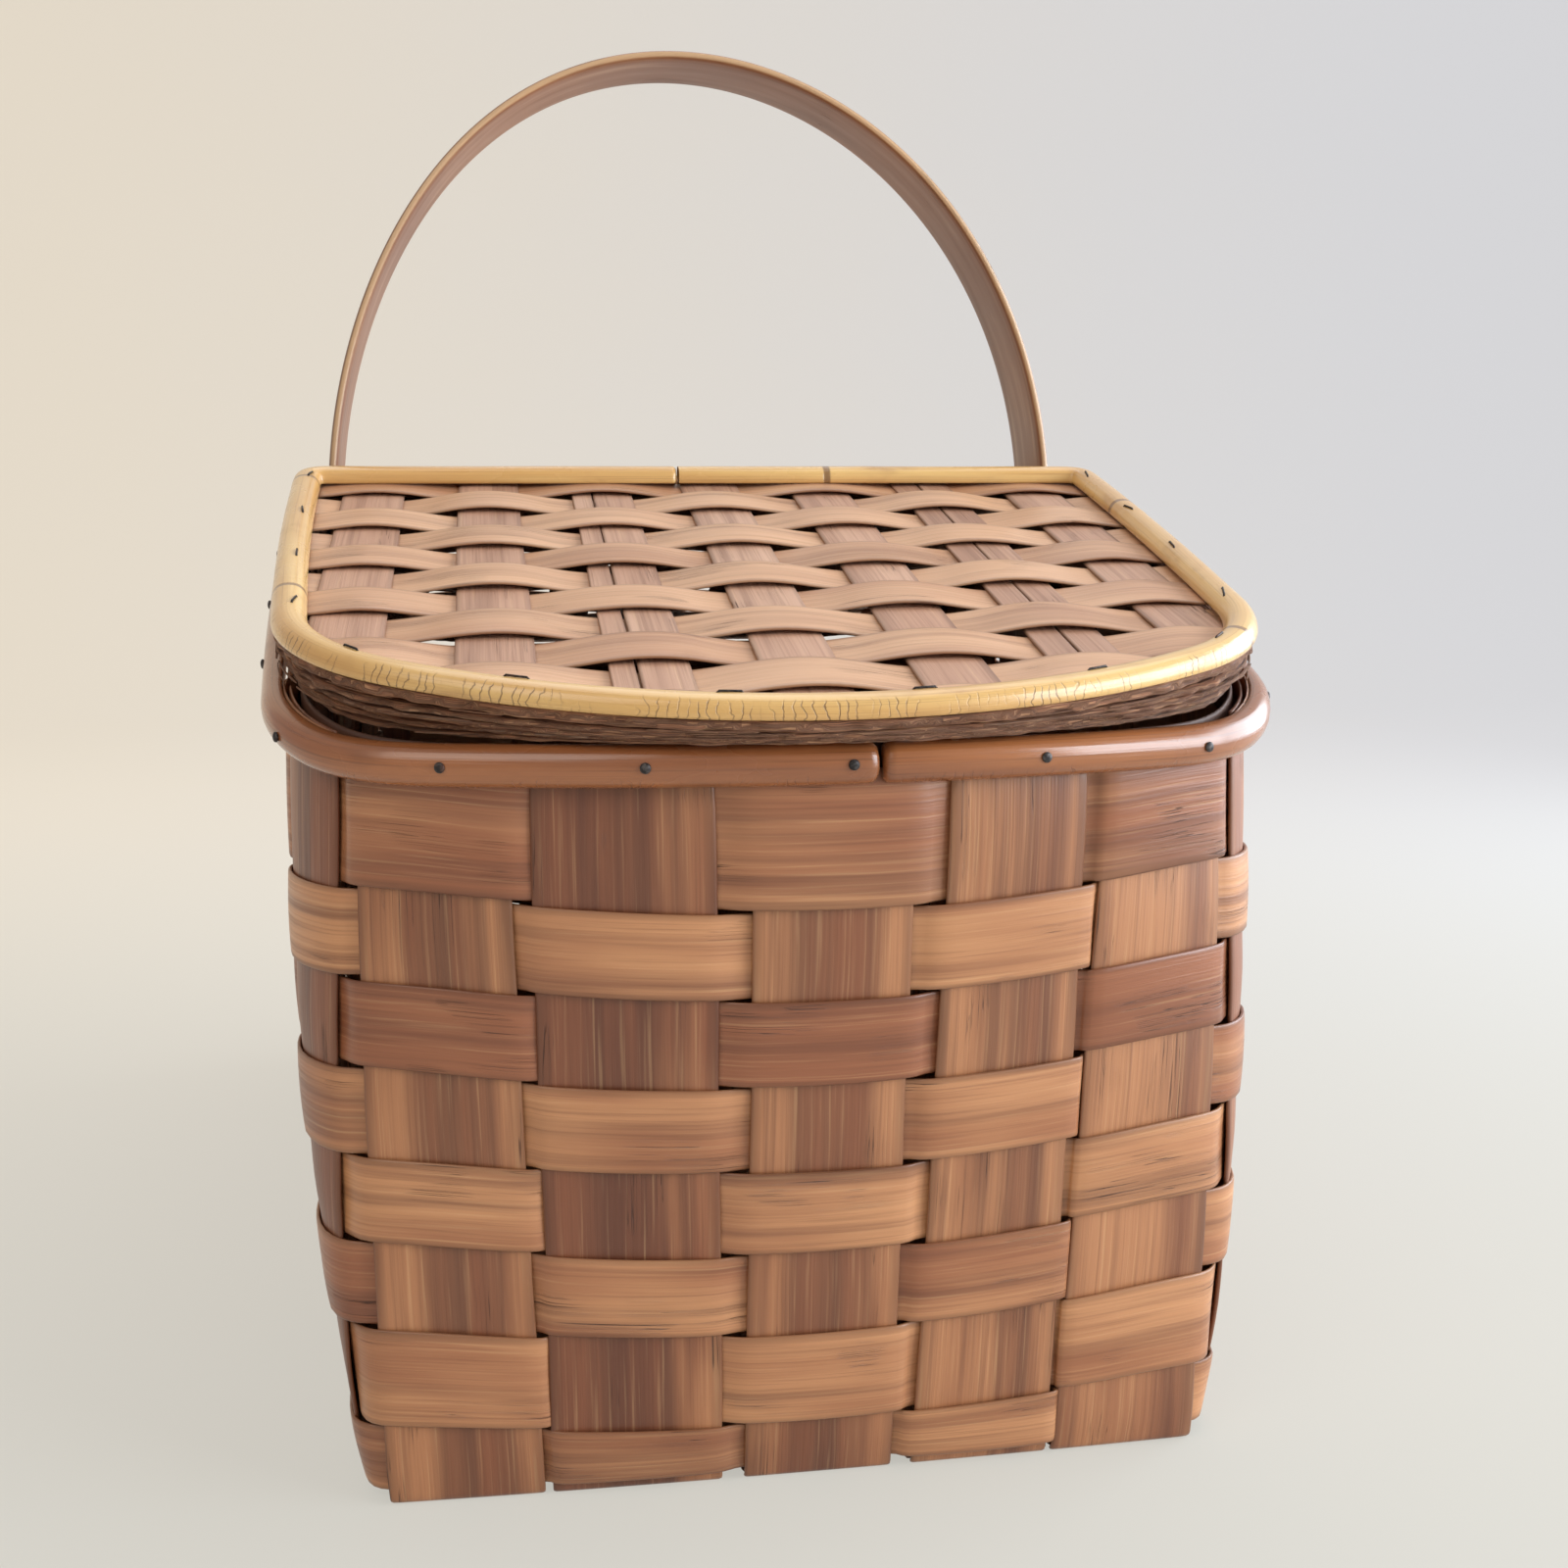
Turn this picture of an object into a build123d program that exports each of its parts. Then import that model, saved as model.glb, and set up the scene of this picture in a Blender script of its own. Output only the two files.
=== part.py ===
from build123d import *

import os
from math import asin, atan2, cos, degrees, hypot, pi, radians, sin, sqrt

os.makedirs("parts", exist_ok=True)

# A picnic basket of flat wood splints. Millimetres. X runs across the basket, Y along it and Z up.
# The origin is the centre of the base on the surface it stands on, and the front end is at -Y.

# The wall, measured on the middle of the stakes' thickness
base_half_width = 111.0
rim_half_width = 131.0
base_half_length = 225.0
rim_half_length = 255.0
base_corner_r = 6.0
rim_corner_r = 50.0
base_end_bow_r = 3000.0
rim_end_bow_r = 250.0
base_side_bow_r = 9000.0
rim_side_bow_r = 2500.0
side_flare_power = 2.2

# The splints
stake_thickness = 1.2
weaver_thickness = 1.0
weave_clearance = 0.12
end_stake_width = 39.0
side_stake_width = 37.0
end_stakes_each_side_of_middle = 2
side_stakes_each_side_of_middle = 5
stake_facets = 3
weaver_edge = 0.25
base_end_reach = 104.5
rim_end_reach = 111.0
base_corner_reach = 115.5
rim_corner_reach = 116.0

# Heights of the weave
base_layer_gap = 0.1
row_pitch = 22.0
full_rows_of_pitch = 7
row_gap = 0.8
upper_rows = 3

# The rim
rim_end_height = 192.2
ridge_height = 254.9
rim_level_to = 232.0
ridge_half_length = 31.5
rim_bend_r = 80.0
wall_below_rim = 0.8
rim_cane_height = 10.5
rim_cane_thickness = 5.6
rim_cane_clearance = 0.15
rim_band_height = 12.0
rim_band_thickness = 1.5
rim_band_clearance = 0.65
nail_pitch = 45.6
nail_phase = 5.9
nail_r = 0.7
nail_head_r = 1.3
nail_head_height = 0.6

# The handle
handle_thickness = 3.6
handle_width = 36.0
handle_clearance = 0.15
handle_top = 404.5
handle_bend_below_ridge = 6.2
handle_foot = 172.0
handle_nail_heights = (205.0, 246.0)

# The bridge between the lids
bridge_half_width = 23.0
bridge_thickness = 4.5
bridge_overhang = 3.0
bridge_seat_gap = 0.1
bridge_notch_clearance = 0.3
hinge_rod_r = 3.0
hinge_rod_y = 28.0
bridge_nail_length = 14.0

# The lids, in the plane of each lid: across, away from the hinge, and above the hinge line
lid_seat_gap = 0.35
lid_half_width = 136.0
lid_front = 248.0
lid_back = 5.2
lid_corner_r = 65.0
lid_end_bow_r = 180.0
lid_side_bow_r = 2500.0
lid_cane_width = 9.5
lid_cane_height = 5.2
lid_cane_bevel = 1.5
lid_layer_gap = 0.1
lid_band_thickness = 2.5
lid_band_bottom = -1.6
lid_band_inset = 1.5
lid_panel_inset = 1.0
lid_stake_thickness = 0.9
lid_strip_thickness = 0.8
lid_stake_width = 19.5
lid_stake_pitch = 36.5
lid_stakes_each_side_of_middle = 3
lid_strip_rows = 11
lid_strip_gap = 1.6

# The wire
loop_wire_r = 0.65
loop_shank_r = 0.6
loop_clearance = 0.06
loop_shank_length = 20.0
loop_reach_in_stakes = 1.5
staple_wire = 0.9
staple_crown = 7.0
staple_pitch = 48.0
staples_each_side_of_middle = 7

# Worked out from the above
stake_floor = stake_thickness
cross_strip_bottom = stake_thickness + base_layer_gap
cross_strip_top = cross_strip_bottom + stake_thickness
weave_bottom = cross_strip_top + row_gap
wide_row_bottom = weave_bottom + full_rows_of_pitch * row_pitch
wall_top_at_ends = rim_end_height - wall_below_rim
flare_top = wall_top_at_ends - rim_band_height
weaver_offset = (stake_thickness + weaver_thickness) / 2 + weave_clearance
weave_half_thickness = weaver_offset + weaver_thickness / 2
rim_cane_inner = weave_half_thickness + rim_cane_clearance
rim_band_outer = weave_half_thickness + rim_band_clearance
rim_band_inner = rim_band_outer + rim_band_thickness
handle_half_span = rim_half_width - rim_band_inner - handle_clearance
handle_inner_half_span = handle_half_span - handle_thickness
handle_bend_from = ridge_height - handle_bend_below_ridge
bridge_bottom = ridge_height + bridge_seat_gap
hinge_height = ridge_height + bridge_seat_gap + hinge_rod_r
lid_edge_reach = lid_front - lid_band_inset
lid_edge_drop = hinge_height - rim_end_height - lid_seat_gap
lid_edge_rise = atan2(-lid_band_bottom, lid_edge_reach)
lid_slope = degrees(asin(lid_edge_drop / hypot(lid_edge_reach, lid_band_bottom)) - lid_edge_rise)
lid_panel_bottom = lid_band_bottom + lid_band_thickness + lid_layer_gap
lid_weave_half_thickness = lid_stake_thickness / 2 + lid_strip_thickness + lid_layer_gap
lid_panel_middle = lid_panel_bottom + lid_weave_half_thickness
lid_cane_bottom = lid_panel_middle + lid_weave_half_thickness + lid_layer_gap
lid_cane_top = lid_cane_bottom + lid_cane_height
lid_length_centre = -hinge_rod_y / cos(radians(lid_slope))
far = 2 * rim_half_length


class Plan:
    """A quarter of a rounded plan: a bowed end, a corner and a bowed side, tangent to one another.

    Places along it are lengths from the middle of the end, and the middle of the side is at its length.
    """

    def __init__(self, half_width, half_length, corner_r, end_r, side_r, grow=0.0):
        self.corner_r = corner_r + grow
        self.end_r = end_r + grow
        self.side_r = side_r + grow
        self.end_centre = (0.0, half_length - end_r)
        self.side_centre = (half_width - side_r, 0.0)
        self.corner_centre = self.find_corner_centre(end_r - corner_r, side_r - corner_r)
        self.end_angle = self.angle_from(self.end_centre)
        self.side_angle = self.angle_from(self.side_centre)
        self.end_length = self.end_r * (pi / 2 - self.end_angle)
        self.corner_length = self.corner_r * (self.end_angle - self.side_angle)
        self.length = self.end_length + self.corner_length + self.side_r * self.side_angle

    def find_corner_centre(self, from_end, from_side):
        across = self.side_centre[0] - self.end_centre[0]
        along = self.side_centre[1] - self.end_centre[1]
        apart = hypot(across, along)
        forward = (from_end**2 - from_side**2 + apart**2) / (2 * apart)
        aside = sqrt(from_end**2 - forward**2)
        across, along = across / apart, along / apart
        both = [
            (
                self.end_centre[0] + across * forward - sign * along * aside,
                self.end_centre[1] + along * forward + sign * across * aside,
            )
            for sign in (-1, 1)
        ]
        return max(both, key=sum)

    def angle_from(self, centre):
        return atan2(self.corner_centre[1] - centre[1], self.corner_centre[0] - centre[0])

    def at(self, place, offset=0.0):
        """The point at a place, moved outwards by an offset."""
        mirrored = -1 if place < 0 else 1
        place = abs(place)
        past_side = -1 if place > self.length else 1
        place = min(place, 2 * self.length - place)
        angle, (x, y), radius = self.arc_at(place)
        reach = radius + offset
        return (mirrored * (x + reach * cos(angle)), past_side * (y + reach * sin(angle)))

    def arc_at(self, place):
        if place <= self.end_length:
            return pi / 2 - place / self.end_r, self.end_centre, self.end_r
        place -= self.end_length
        if place <= self.corner_length:
            return self.end_angle - place / self.corner_r, self.corner_centre, self.corner_r
        place -= self.corner_length
        return self.side_angle - place / self.side_r, self.side_centre, self.side_r

    def normal_angle(self, place):
        """The outward direction at a place in this quarter, in degrees from +X."""
        return degrees(self.arc_at(place)[0])

    def half_outline(self, offset=0.0):
        """Draws the half on +X, from the middle of one end to the middle of the other."""
        end_stop = self.end_length
        corner_stop = end_stop + self.corner_length
        whole = 2 * self.length
        bends = [
            (0, end_stop / 2, end_stop),
            (end_stop, (end_stop + corner_stop) / 2, corner_stop),
            (corner_stop, self.length, whole - corner_stop),
            (whole - corner_stop, whole - (end_stop + corner_stop) / 2, whole - end_stop),
            (whole - end_stop, whole - end_stop / 2, whole),
        ]
        for bend in bends:
            ThreePointArc(*[self.at(place, offset) for place in bend])

    def closed_face(self, offset=0.0, mode=Mode.ADD):
        """Makes the whole plan a face of the sketch in hand."""
        with BuildLine() as edge:
            self.half_outline(offset)
            mirror(about=Plane.YZ)
        make_face(edge.edges(), mode=mode)


def between(low, high, share):
    return low + (high - low) * share


def flare_share(height):
    """How far the wall has flared at a height. Behind the rim it stands straight."""
    return min(max((height - stake_floor) / (flare_top - stake_floor), 0.0), 1.0)


def wall_plan(height, grow=0.0):
    """The wall's plan at a height. The sides flare quickly above the base, and the ends evenly."""
    share = flare_share(height)
    side_share = 1 - (1 - share) ** side_flare_power
    return Plan(
        between(base_half_width, rim_half_width, side_share),
        between(base_half_length, rim_half_length, share),
        between(base_corner_r, rim_corner_r, share),
        1 / between(1 / base_end_bow_r, 1 / rim_end_bow_r, share),
        1 / between(1 / base_side_bow_r, 1 / rim_side_bow_r, share),
        grow,
    )


def stake_places(height):
    """The stakes of a quarter of the wall at a height, from the end's middle: (place, width)."""
    share = flare_share(height)
    end_reach = between(base_end_reach, rim_end_reach, share)
    corner_reach = between(base_corner_reach, rim_corner_reach, share)
    length = wall_plan(height).length
    end_pitch = (end_reach - end_stake_width / 2) / end_stakes_each_side_of_middle
    side_pitch = (length - corner_reach - side_stake_width / 2) / side_stakes_each_side_of_middle
    places = [(n * end_pitch, end_stake_width) for n in range(end_stakes_each_side_of_middle + 1)]
    for n in range(side_stakes_each_side_of_middle, -1, -1):
        places.append((length - n * side_pitch, side_stake_width))
    return places


def facet_steps(width):
    return [width * (n / stake_facets - 0.5) for n in range(stake_facets + 1)]


def stake_section(height, index, front, right):
    """A stake's outline at a height, by its number in the quarter and the quarter it stands in."""
    plan = wall_plan(height)
    place, width = stake_places(height)[index]
    flip_x = 1 if right else -1
    flip_y = -1 if front else 1
    half = stake_thickness / 2
    outer = [plan.at(place + step, half) for step in facet_steps(width)]
    inner = [plan.at(place + step, -half) for step in reversed(facet_steps(width))]
    return [(flip_x * x, flip_y * y) for x, y in outer + inner]


def flat_section(height, points):
    with BuildSketch(Plane.XY.offset(height)) as section:
        with BuildLine():
            Polyline(*points, close=True)
        make_face()
    return section.sketch


def add_stake(heights, index, front, right):
    """Adds one stake to the part in hand, folded a little at each of the heights."""
    loft([flat_section(height, stake_section(height, index, front, right)) for height in heights], ruled=True)


def weaver_section(height, row, shift):
    """The outline of one face of a weaver that passes over every other stake."""
    plan = wall_plan(height)
    places = stake_places(height)
    quarter = []
    for index, (place, width) in enumerate(places):
        layer = weaver_offset if (index + row) % 2 else -weaver_offset
        steps = facet_steps(width)
        steps[0] -= weaver_edge
        steps[-1] += weaver_edge
        for step in steps:
            if 0 < place + step < plan.length:
                quarter.append((place + step, layer))
        if index + 1 < len(places):
            next_place, next_width = places[index + 1]
            gap_middle = (place + width / 2 + next_place - next_width / 2) / 2
            quarter.append((gap_middle, 0.0))
    points = [plan.at(place, layer + shift) for place, layer in quarter]
    right_back = points
    right_front = [(x, -y) for x, y in reversed(points)]
    left_front = [(-x, -y) for x, y in points]
    left_back = [(-x, y) for x, y in reversed(points)]
    return right_back + right_front + left_front + left_back


def add_weaver_ring(heights, row):
    """Adds a closed ring of weaver through the heights to the part in hand."""
    for shift, mode in ((weaver_thickness / 2, Mode.ADD), (-weaver_thickness / 2, Mode.SUBTRACT)):
        faces = [flat_section(height, weaver_section(height, row, shift)) for height in heights]
        loft(faces, ruled=True, mode=mode)


def rim_height_at(y):
    """The height of the rim's top at a distance along the basket, before its bends are eased."""
    share = (rim_level_to - abs(y)) / (rim_level_to - ridge_half_length)
    return between(rim_end_height, ridge_height, min(max(share, 0.0), 1.0))


def rim_line(drop):
    return [
        (-far, rim_end_height - drop),
        (-rim_level_to, rim_end_height - drop),
        (-ridge_half_length, ridge_height - drop),
        (ridge_half_length, ridge_height - drop),
        (rim_level_to, rim_end_height - drop),
        (far, rim_end_height - drop),
    ]


def keep_below_rim(drop, depth=None):
    """Keeps what lies below the rim's line, and above a line that is lower by a depth."""
    lower = [(far, -far), (-far, -far)] if depth is None else list(reversed(rim_line(drop + depth)))
    with BuildSketch(Plane.YZ) as side_view:
        with BuildLine():
            Polyline(*(rim_line(drop) + lower), close=True)
        make_face()
        bends = [v for v in side_view.vertices() if abs(v.X) < rim_half_length and v.Y > 0]
        fillet(bends, rim_bend_r)
    extrude(side_view.sketch, amount=far, both=True, mode=Mode.INTERSECT)


def lid_plane(side):
    """A lid's own plane through its hinge line: the front lid is side -1 and the back lid side +1."""
    slope = radians(lid_slope)
    return Plane(
        origin=(0, side * hinge_rod_y, hinge_height),
        x_dir=(-side, 0, 0),
        z_dir=(0, side * sin(slope), cos(slope)),
    )


def lid_edge_plan(grow=0.0):
    """The rounded edge of a lid, as a plan about its own centre."""
    return Plan(
        lid_half_width,
        lid_front - lid_length_centre,
        lid_corner_r,
        lid_end_bow_r,
        lid_side_bow_r,
        grow,
    )


def lid_outline(inset, mode=Mode.ADD):
    """Draws the D of a lid, drawn in all round by an inset, in the sketch in hand."""
    plan = lid_edge_plan(-inset)
    with BuildSketch(mode=Mode.PRIVATE) as whole:
        with Locations((0, -lid_length_centre)):
            with BuildSketch(mode=Mode.PRIVATE) as rounded:
                plan.closed_face()
            add(rounded.sketch)
        with Locations((0, -(lid_back + inset))):
            Rectangle(far, 2 * far, align=(Align.CENTER, Align.MAX), mode=Mode.INTERSECT)
    add(whole.sketch, mode=mode)


def finish(piece, name):
    piece.part.label = name
    export_step(piece.part, f"parts/{name}.step")


# The base: long strips that the end stakes rise from, and cross strips that the side stakes rise from

base_places = stake_places(stake_floor)
long_strip_xs = [place for place, _ in base_places[: end_stakes_each_side_of_middle + 1]]
base_plan = wall_plan(stake_floor)
cross_strip_ys = [base_plan.at(place)[1] for place, _ in base_places[end_stakes_each_side_of_middle + 1 :]]

with BuildPart() as base_long_strips:
    with BuildSketch():
        for x in sorted({side * x for x in long_strip_xs for side in (-1, 1)}):
            with Locations((x, 0)):
                Rectangle(end_stake_width, 2 * base_half_length + stake_thickness)
    extrude(amount=stake_thickness)
finish(base_long_strips, "base_long_strips")

with BuildPart() as base_cross_strips:
    with BuildSketch(Plane.XY.offset(cross_strip_bottom)):
        for y in sorted({round(side * y, 6) + 0.0 for y in cross_strip_ys for side in (-1, 1)}):
            with Locations((0, y)):
                Rectangle(2 * base_half_width + stake_thickness, side_stake_width)
    extrude(amount=stake_thickness)
finish(base_cross_strips, "base_cross_strips")

# The stakes, wall by wall

row_bottoms = [weave_bottom + n * row_pitch for n in range(full_rows_of_pitch)] + [wide_row_bottom]
end_heights = [stake_floor] + row_bottoms[1:] + [flare_top, wall_top_at_ends]
side_heights = [cross_strip_top] + row_bottoms[1:] + [flare_top, ridge_height]

for name, front in (("front_stakes", True), ("back_stakes", False)):
    with BuildPart() as end_stakes:
        for index in range(end_stakes_each_side_of_middle + 1):
            for right in (True, False) if index else (True,):
                add_stake(end_heights, index, front, right)
    finish(end_stakes, name)

side_first = end_stakes_each_side_of_middle + 1
side_middle = side_first + side_stakes_each_side_of_middle
for name, right in (("right_stakes", True), ("left_stakes", False)):
    with BuildPart() as side_stakes:
        for index in range(side_first, side_middle + 1):
            for front in (True, False) if index < side_middle else (True,):
                add_stake(side_heights, index, front, right)
        keep_below_rim(wall_below_rim)
    finish(side_stakes, name)

# The weavers: the wide row under the rim is row 1, and the numbers count down to the base

row_tops = row_bottoms[1:] + [wall_top_at_ends + row_gap]
for level, (bottom, top) in enumerate(zip(row_bottoms, row_tops)):
    row = len(row_bottoms) - level
    heights = [bottom, flare_top, top - row_gap] if bottom < flare_top < top else [bottom, top - row_gap]
    with BuildPart() as weaver:
        add_weaver_ring(heights, row)
    finish(weaver, f"weaver_row_{row}")

for level in range(upper_rows):
    bottom = wall_top_at_ends + row_gap / 2 + level * row_pitch
    top = min(bottom + row_pitch - row_gap, ridge_height)
    for name, right in (("right", 1), ("left", -1)):
        with BuildPart() as short_weaver:
            add_weaver_ring([bottom, top], level)
            keep_below_rim(wall_below_rim)
            with BuildSketch(Plane.XY):
                with Locations((right * far / 2, 0)):
                    Rectangle(far, 2 * far)
            extrude(amount=far, mode=Mode.INTERSECT)
        finish(short_weaver, f"upper_weaver_{level + 1}_{name}")

# The rim: a half-round cane outside the wall and a flat band inside it

with BuildPart() as rim_cane:
    with BuildSketch():
        wall_plan(ridge_height).closed_face(rim_cane_inner + rim_cane_thickness)
        wall_plan(ridge_height).closed_face(rim_cane_inner, mode=Mode.SUBTRACT)
    extrude(amount=far)
    keep_below_rim(0, rim_cane_height)
finish(rim_cane, "rim_cane")

with BuildPart() as rim_band:
    with BuildSketch():
        wall_plan(ridge_height).closed_face(-rim_band_outer)
        wall_plan(ridge_height).closed_face(-rim_band_inner, mode=Mode.SUBTRACT)
    extrude(amount=far)
    keep_below_rim(wall_below_rim, rim_band_height)
finish(rim_band, "rim_band")

rim_plan = wall_plan(ridge_height)
nail_count = int(2 * rim_plan.length // nail_pitch)
with BuildPart() as rim_nails:
    for first, step in ((nail_phase, 1), (nail_phase - nail_pitch, -1)):
        for n in range(nail_count // 2 * 2):
            place = abs(first + step * n * nail_pitch)
            folded = min(place, 2 * rim_plan.length - place)
            x, y = rim_plan.at(place, rim_cane_inner + rim_cane_thickness)
            if place > 2 * rim_plan.length - nail_pitch / 2 or abs(y) < hinge_rod_y + 2 * nail_head_r:
                continue
            outward = radians(rim_plan.normal_angle(folded))
            facing = Vector(step * cos(outward), -sin(outward) if y > 0 else sin(outward), 0)
            seat = Plane(
                origin=(step * x, -y, rim_height_at(y) - rim_cane_height / 2),
                z_dir=facing,
            )
            with BuildSketch(seat):
                Circle(nail_head_r)
            extrude(amount=nail_head_height)
            with BuildSketch(seat):
                Circle(nail_r)
            extrude(amount=-(rim_cane_inner + rim_cane_thickness + rim_band_inner))
finish(rim_nails, "rim_nails")

# The handle: a flat bentwood hoop with its legs inside the rim

with BuildPart() as handle:
    with BuildSketch(Plane.XZ):
        with BuildLine():
            rise = handle_top - handle_bend_from
            for half_span, height in (
                (handle_half_span, rise),
                (handle_inner_half_span, rise - handle_thickness),
            ):
                EllipticalCenterArc((0, handle_bend_from), half_span, height, start_angle=0, arc_size=180)
            for side in (-1, 1):
                Polyline(
                    (side * handle_half_span, handle_bend_from),
                    (side * handle_half_span, handle_foot),
                    (side * handle_inner_half_span, handle_foot),
                    (side * handle_inner_half_span, handle_bend_from),
                )
        make_face()
    extrude(amount=handle_width / 2, both=True)
finish(handle, "handle")

with BuildPart() as handle_nails:
    for side in (-1, 1):
        for height in handle_nail_heights:
            seat = Plane(origin=(side * handle_inner_half_span, 0, height), z_dir=(-side, 0, 0))
            with BuildSketch(seat):
                Circle(nail_head_r)
            extrude(amount=nail_head_height)
            with BuildSketch(seat):
                Circle(nail_r)
            extrude(amount=-(rim_half_width + weave_half_thickness - handle_inner_half_span))
finish(handle_nails, "handle_nails")

# The bridge between the lids, notched round the handle, and the two rods that the lids hang on

bridge_half_length = rim_half_width + bridge_overhang
notch_from = handle_inner_half_span - bridge_notch_clearance
with BuildPart() as bridge:
    with BuildSketch(Plane.XY.offset(bridge_bottom)):
        Rectangle(2 * bridge_half_length, 2 * bridge_half_width)
        for side in (-1, 1):
            with Locations((side * (notch_from + far / 2), 0)):
                Rectangle(far, handle_width + 2 * bridge_notch_clearance, mode=Mode.SUBTRACT)
    extrude(amount=bridge_thickness)
finish(bridge, "bridge")

for name, side in (("front_hinge_rod", -1), ("back_hinge_rod", 1)):
    with BuildPart() as hinge_rod:
        with BuildSketch(Plane.YZ):
            with Locations((side * hinge_rod_y, hinge_height)):
                Circle(hinge_rod_r)
        extrude(amount=bridge_half_length, both=True)
    finish(hinge_rod, name)

with BuildPart() as bridge_nails:
    tongue_middle = (bridge_half_width + handle_width / 2 + bridge_notch_clearance) / 2
    nail_seats = (
        (tongue_middle, bridge_bottom + bridge_thickness),
        (hinge_rod_y, hinge_height + hinge_rod_r),
    )
    for x in (-rim_half_width, rim_half_width):
        for y, top in nail_seats:
            for side in (-1, 1):
                with BuildSketch(Plane.XY.offset(top)):
                    with Locations((x, side * y)):
                        Circle(nail_head_r)
                extrude(amount=nail_head_height)
                with BuildSketch(Plane.XY.offset(top)):
                    with Locations((x, side * y)):
                        Circle(nail_r)
                extrude(amount=-bridge_nail_length)
finish(bridge_nails, "bridge_nails")

# The lids: the same pieces twice, each in its own plane

for lid, side in (("front_lid", -1), ("back_lid", 1)):
    plane = lid_plane(side)

    with BuildPart() as lid_band:
        with BuildSketch(plane.offset(lid_band_bottom)):
            lid_outline(lid_band_inset)
            lid_outline(lid_cane_width, mode=Mode.SUBTRACT)
        extrude(amount=lid_band_thickness)
    finish(lid_band, f"{lid}_band")

    with BuildPart() as lid_stakes:
        with BuildSketch(plane.offset(lid_panel_middle - lid_stake_thickness / 2)):
            for n in range(-lid_stakes_each_side_of_middle, lid_stakes_each_side_of_middle + 1):
                with Locations((n * lid_stake_pitch, 0)):
                    Rectangle(lid_stake_width, 2 * far)
            lid_outline(lid_panel_inset, mode=Mode.INTERSECT)
        extrude(amount=lid_stake_thickness)
    finish(lid_stakes, f"{lid}_stakes")

    strip_area = lid_front - lid_back - 2 * lid_panel_inset
    strip_pitch = strip_area / lid_strip_rows
    strip_offset = (lid_stake_thickness + lid_strip_thickness) / 2 + lid_layer_gap
    stake_ns = range(-lid_stakes_each_side_of_middle - 1, lid_stakes_each_side_of_middle + 2)
    with BuildPart() as lid_strips:
        for row in range(lid_strip_rows):
            start = lid_back + lid_panel_inset + row * strip_pitch + lid_strip_gap / 2
            waves = []
            for n in stake_ns:
                layer = strip_offset if (n + row) % 2 else -strip_offset
                for edge in (-1, 1):
                    across = n * lid_stake_pitch + edge * (lid_stake_width / 2 + weaver_edge)
                    waves.append((across, lid_panel_middle + layer))
            wave_plane = Plane(
                origin=plane.from_local_coords((0, -start, 0)),
                x_dir=plane.x_dir,
                z_dir=-plane.y_dir,
            )
            half = lid_strip_thickness / 2
            upper = [(across, above + half) for across, above in waves]
            lower = [(across, above - half) for across, above in reversed(waves)]
            with BuildSketch(wave_plane):
                with BuildLine():
                    Polyline(*(upper + lower), close=True)
                make_face()
            extrude(amount=strip_pitch - lid_strip_gap)
        with BuildSketch(plane.offset(lid_panel_bottom - lid_cane_height)):
            lid_outline(lid_panel_inset)
        extrude(amount=2 * lid_cane_height + 2 * lid_weave_half_thickness, mode=Mode.INTERSECT)
    finish(lid_strips, f"{lid}_strips")

    with BuildPart() as lid_cane:
        with BuildSketch(plane.offset(lid_cane_bottom)):
            lid_outline(0)
            lid_outline(lid_cane_width, mode=Mode.SUBTRACT)
        extrude(amount=lid_cane_height)
        upwards = Axis(plane.origin, plane.z_dir)
        chamfer(lid_cane.faces().sort_by(upwards)[-1].edges(), lid_cane_bevel)
    finish(lid_cane, f"{lid}_cane")

    edge_plan = lid_edge_plan()
    leg_middle = (staple_crown - staple_wire) / 2
    with BuildPart() as lid_staples:
        for n in range(-staples_each_side_of_middle, staples_each_side_of_middle):
            place = abs((n + 0.5) * staple_pitch)
            mirrored = 1 if n < 0 else -1
            x, v = edge_plan.at(place, -lid_cane_width / 2)
            turn = edge_plan.normal_angle(place)
            if n < 0:
                turn = 180 - turn
            across = Location((-mirrored * x, -(v + lid_length_centre), 0), (0, 0, -turn))
            with BuildSketch(plane.offset(lid_cane_top)):
                with Locations(across):
                    Rectangle(staple_wire, staple_crown)
            extrude(amount=staple_wire)
            with BuildSketch(plane.offset(lid_cane_top)):
                with Locations(across):
                    with Locations((0, leg_middle), (0, -leg_middle)):
                        Rectangle(staple_wire, staple_wire)
            extrude(amount=-(lid_cane_top - lid_band_bottom - lid_layer_gap))
    finish(lid_staples, f"{lid}_staples")

    loop_x = loop_reach_in_stakes * lid_stake_pitch
    ring_r = hinge_rod_r + loop_clearance + loop_wire_r
    with BuildPart() as hinge_loops:
        for x in (-loop_x, loop_x):
            centre = plane.from_local_coords((x, 0, 0))
            with BuildSketch(Plane(origin=centre, x_dir=plane.y_dir, z_dir=plane.z_dir)):
                with Locations((ring_r, 0)):
                    Circle(loop_wire_r)
            revolve(axis=Axis(centre, plane.x_dir))
            shank_plane = Plane(
                origin=plane.from_local_coords((x, -ring_r, 0)),
                x_dir=plane.x_dir,
                z_dir=-plane.y_dir,
            )
            with BuildSketch(shank_plane):
                Circle(loop_shank_r)
            extrude(amount=loop_shank_length - ring_r)
    finish(hinge_loops, f"{lid}_hinge_loops")
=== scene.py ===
# %% [markdown]
# # An old picnic basket of wood splints
#
# The basket is woven from thin flat strips of wood, called splints. Its rim is a bent half-round
# cane, its handle is one bent strap, and two woven lids hang from rods beside a narrow bridge.
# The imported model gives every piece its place. This script gives each piece its real form and finish.

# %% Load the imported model
import math
import random
from bisect import bisect_right
from collections import namedtuple
from functools import lru_cache

import bmesh
import bpy
from mathutils import Matrix, Vector, noise


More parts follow.
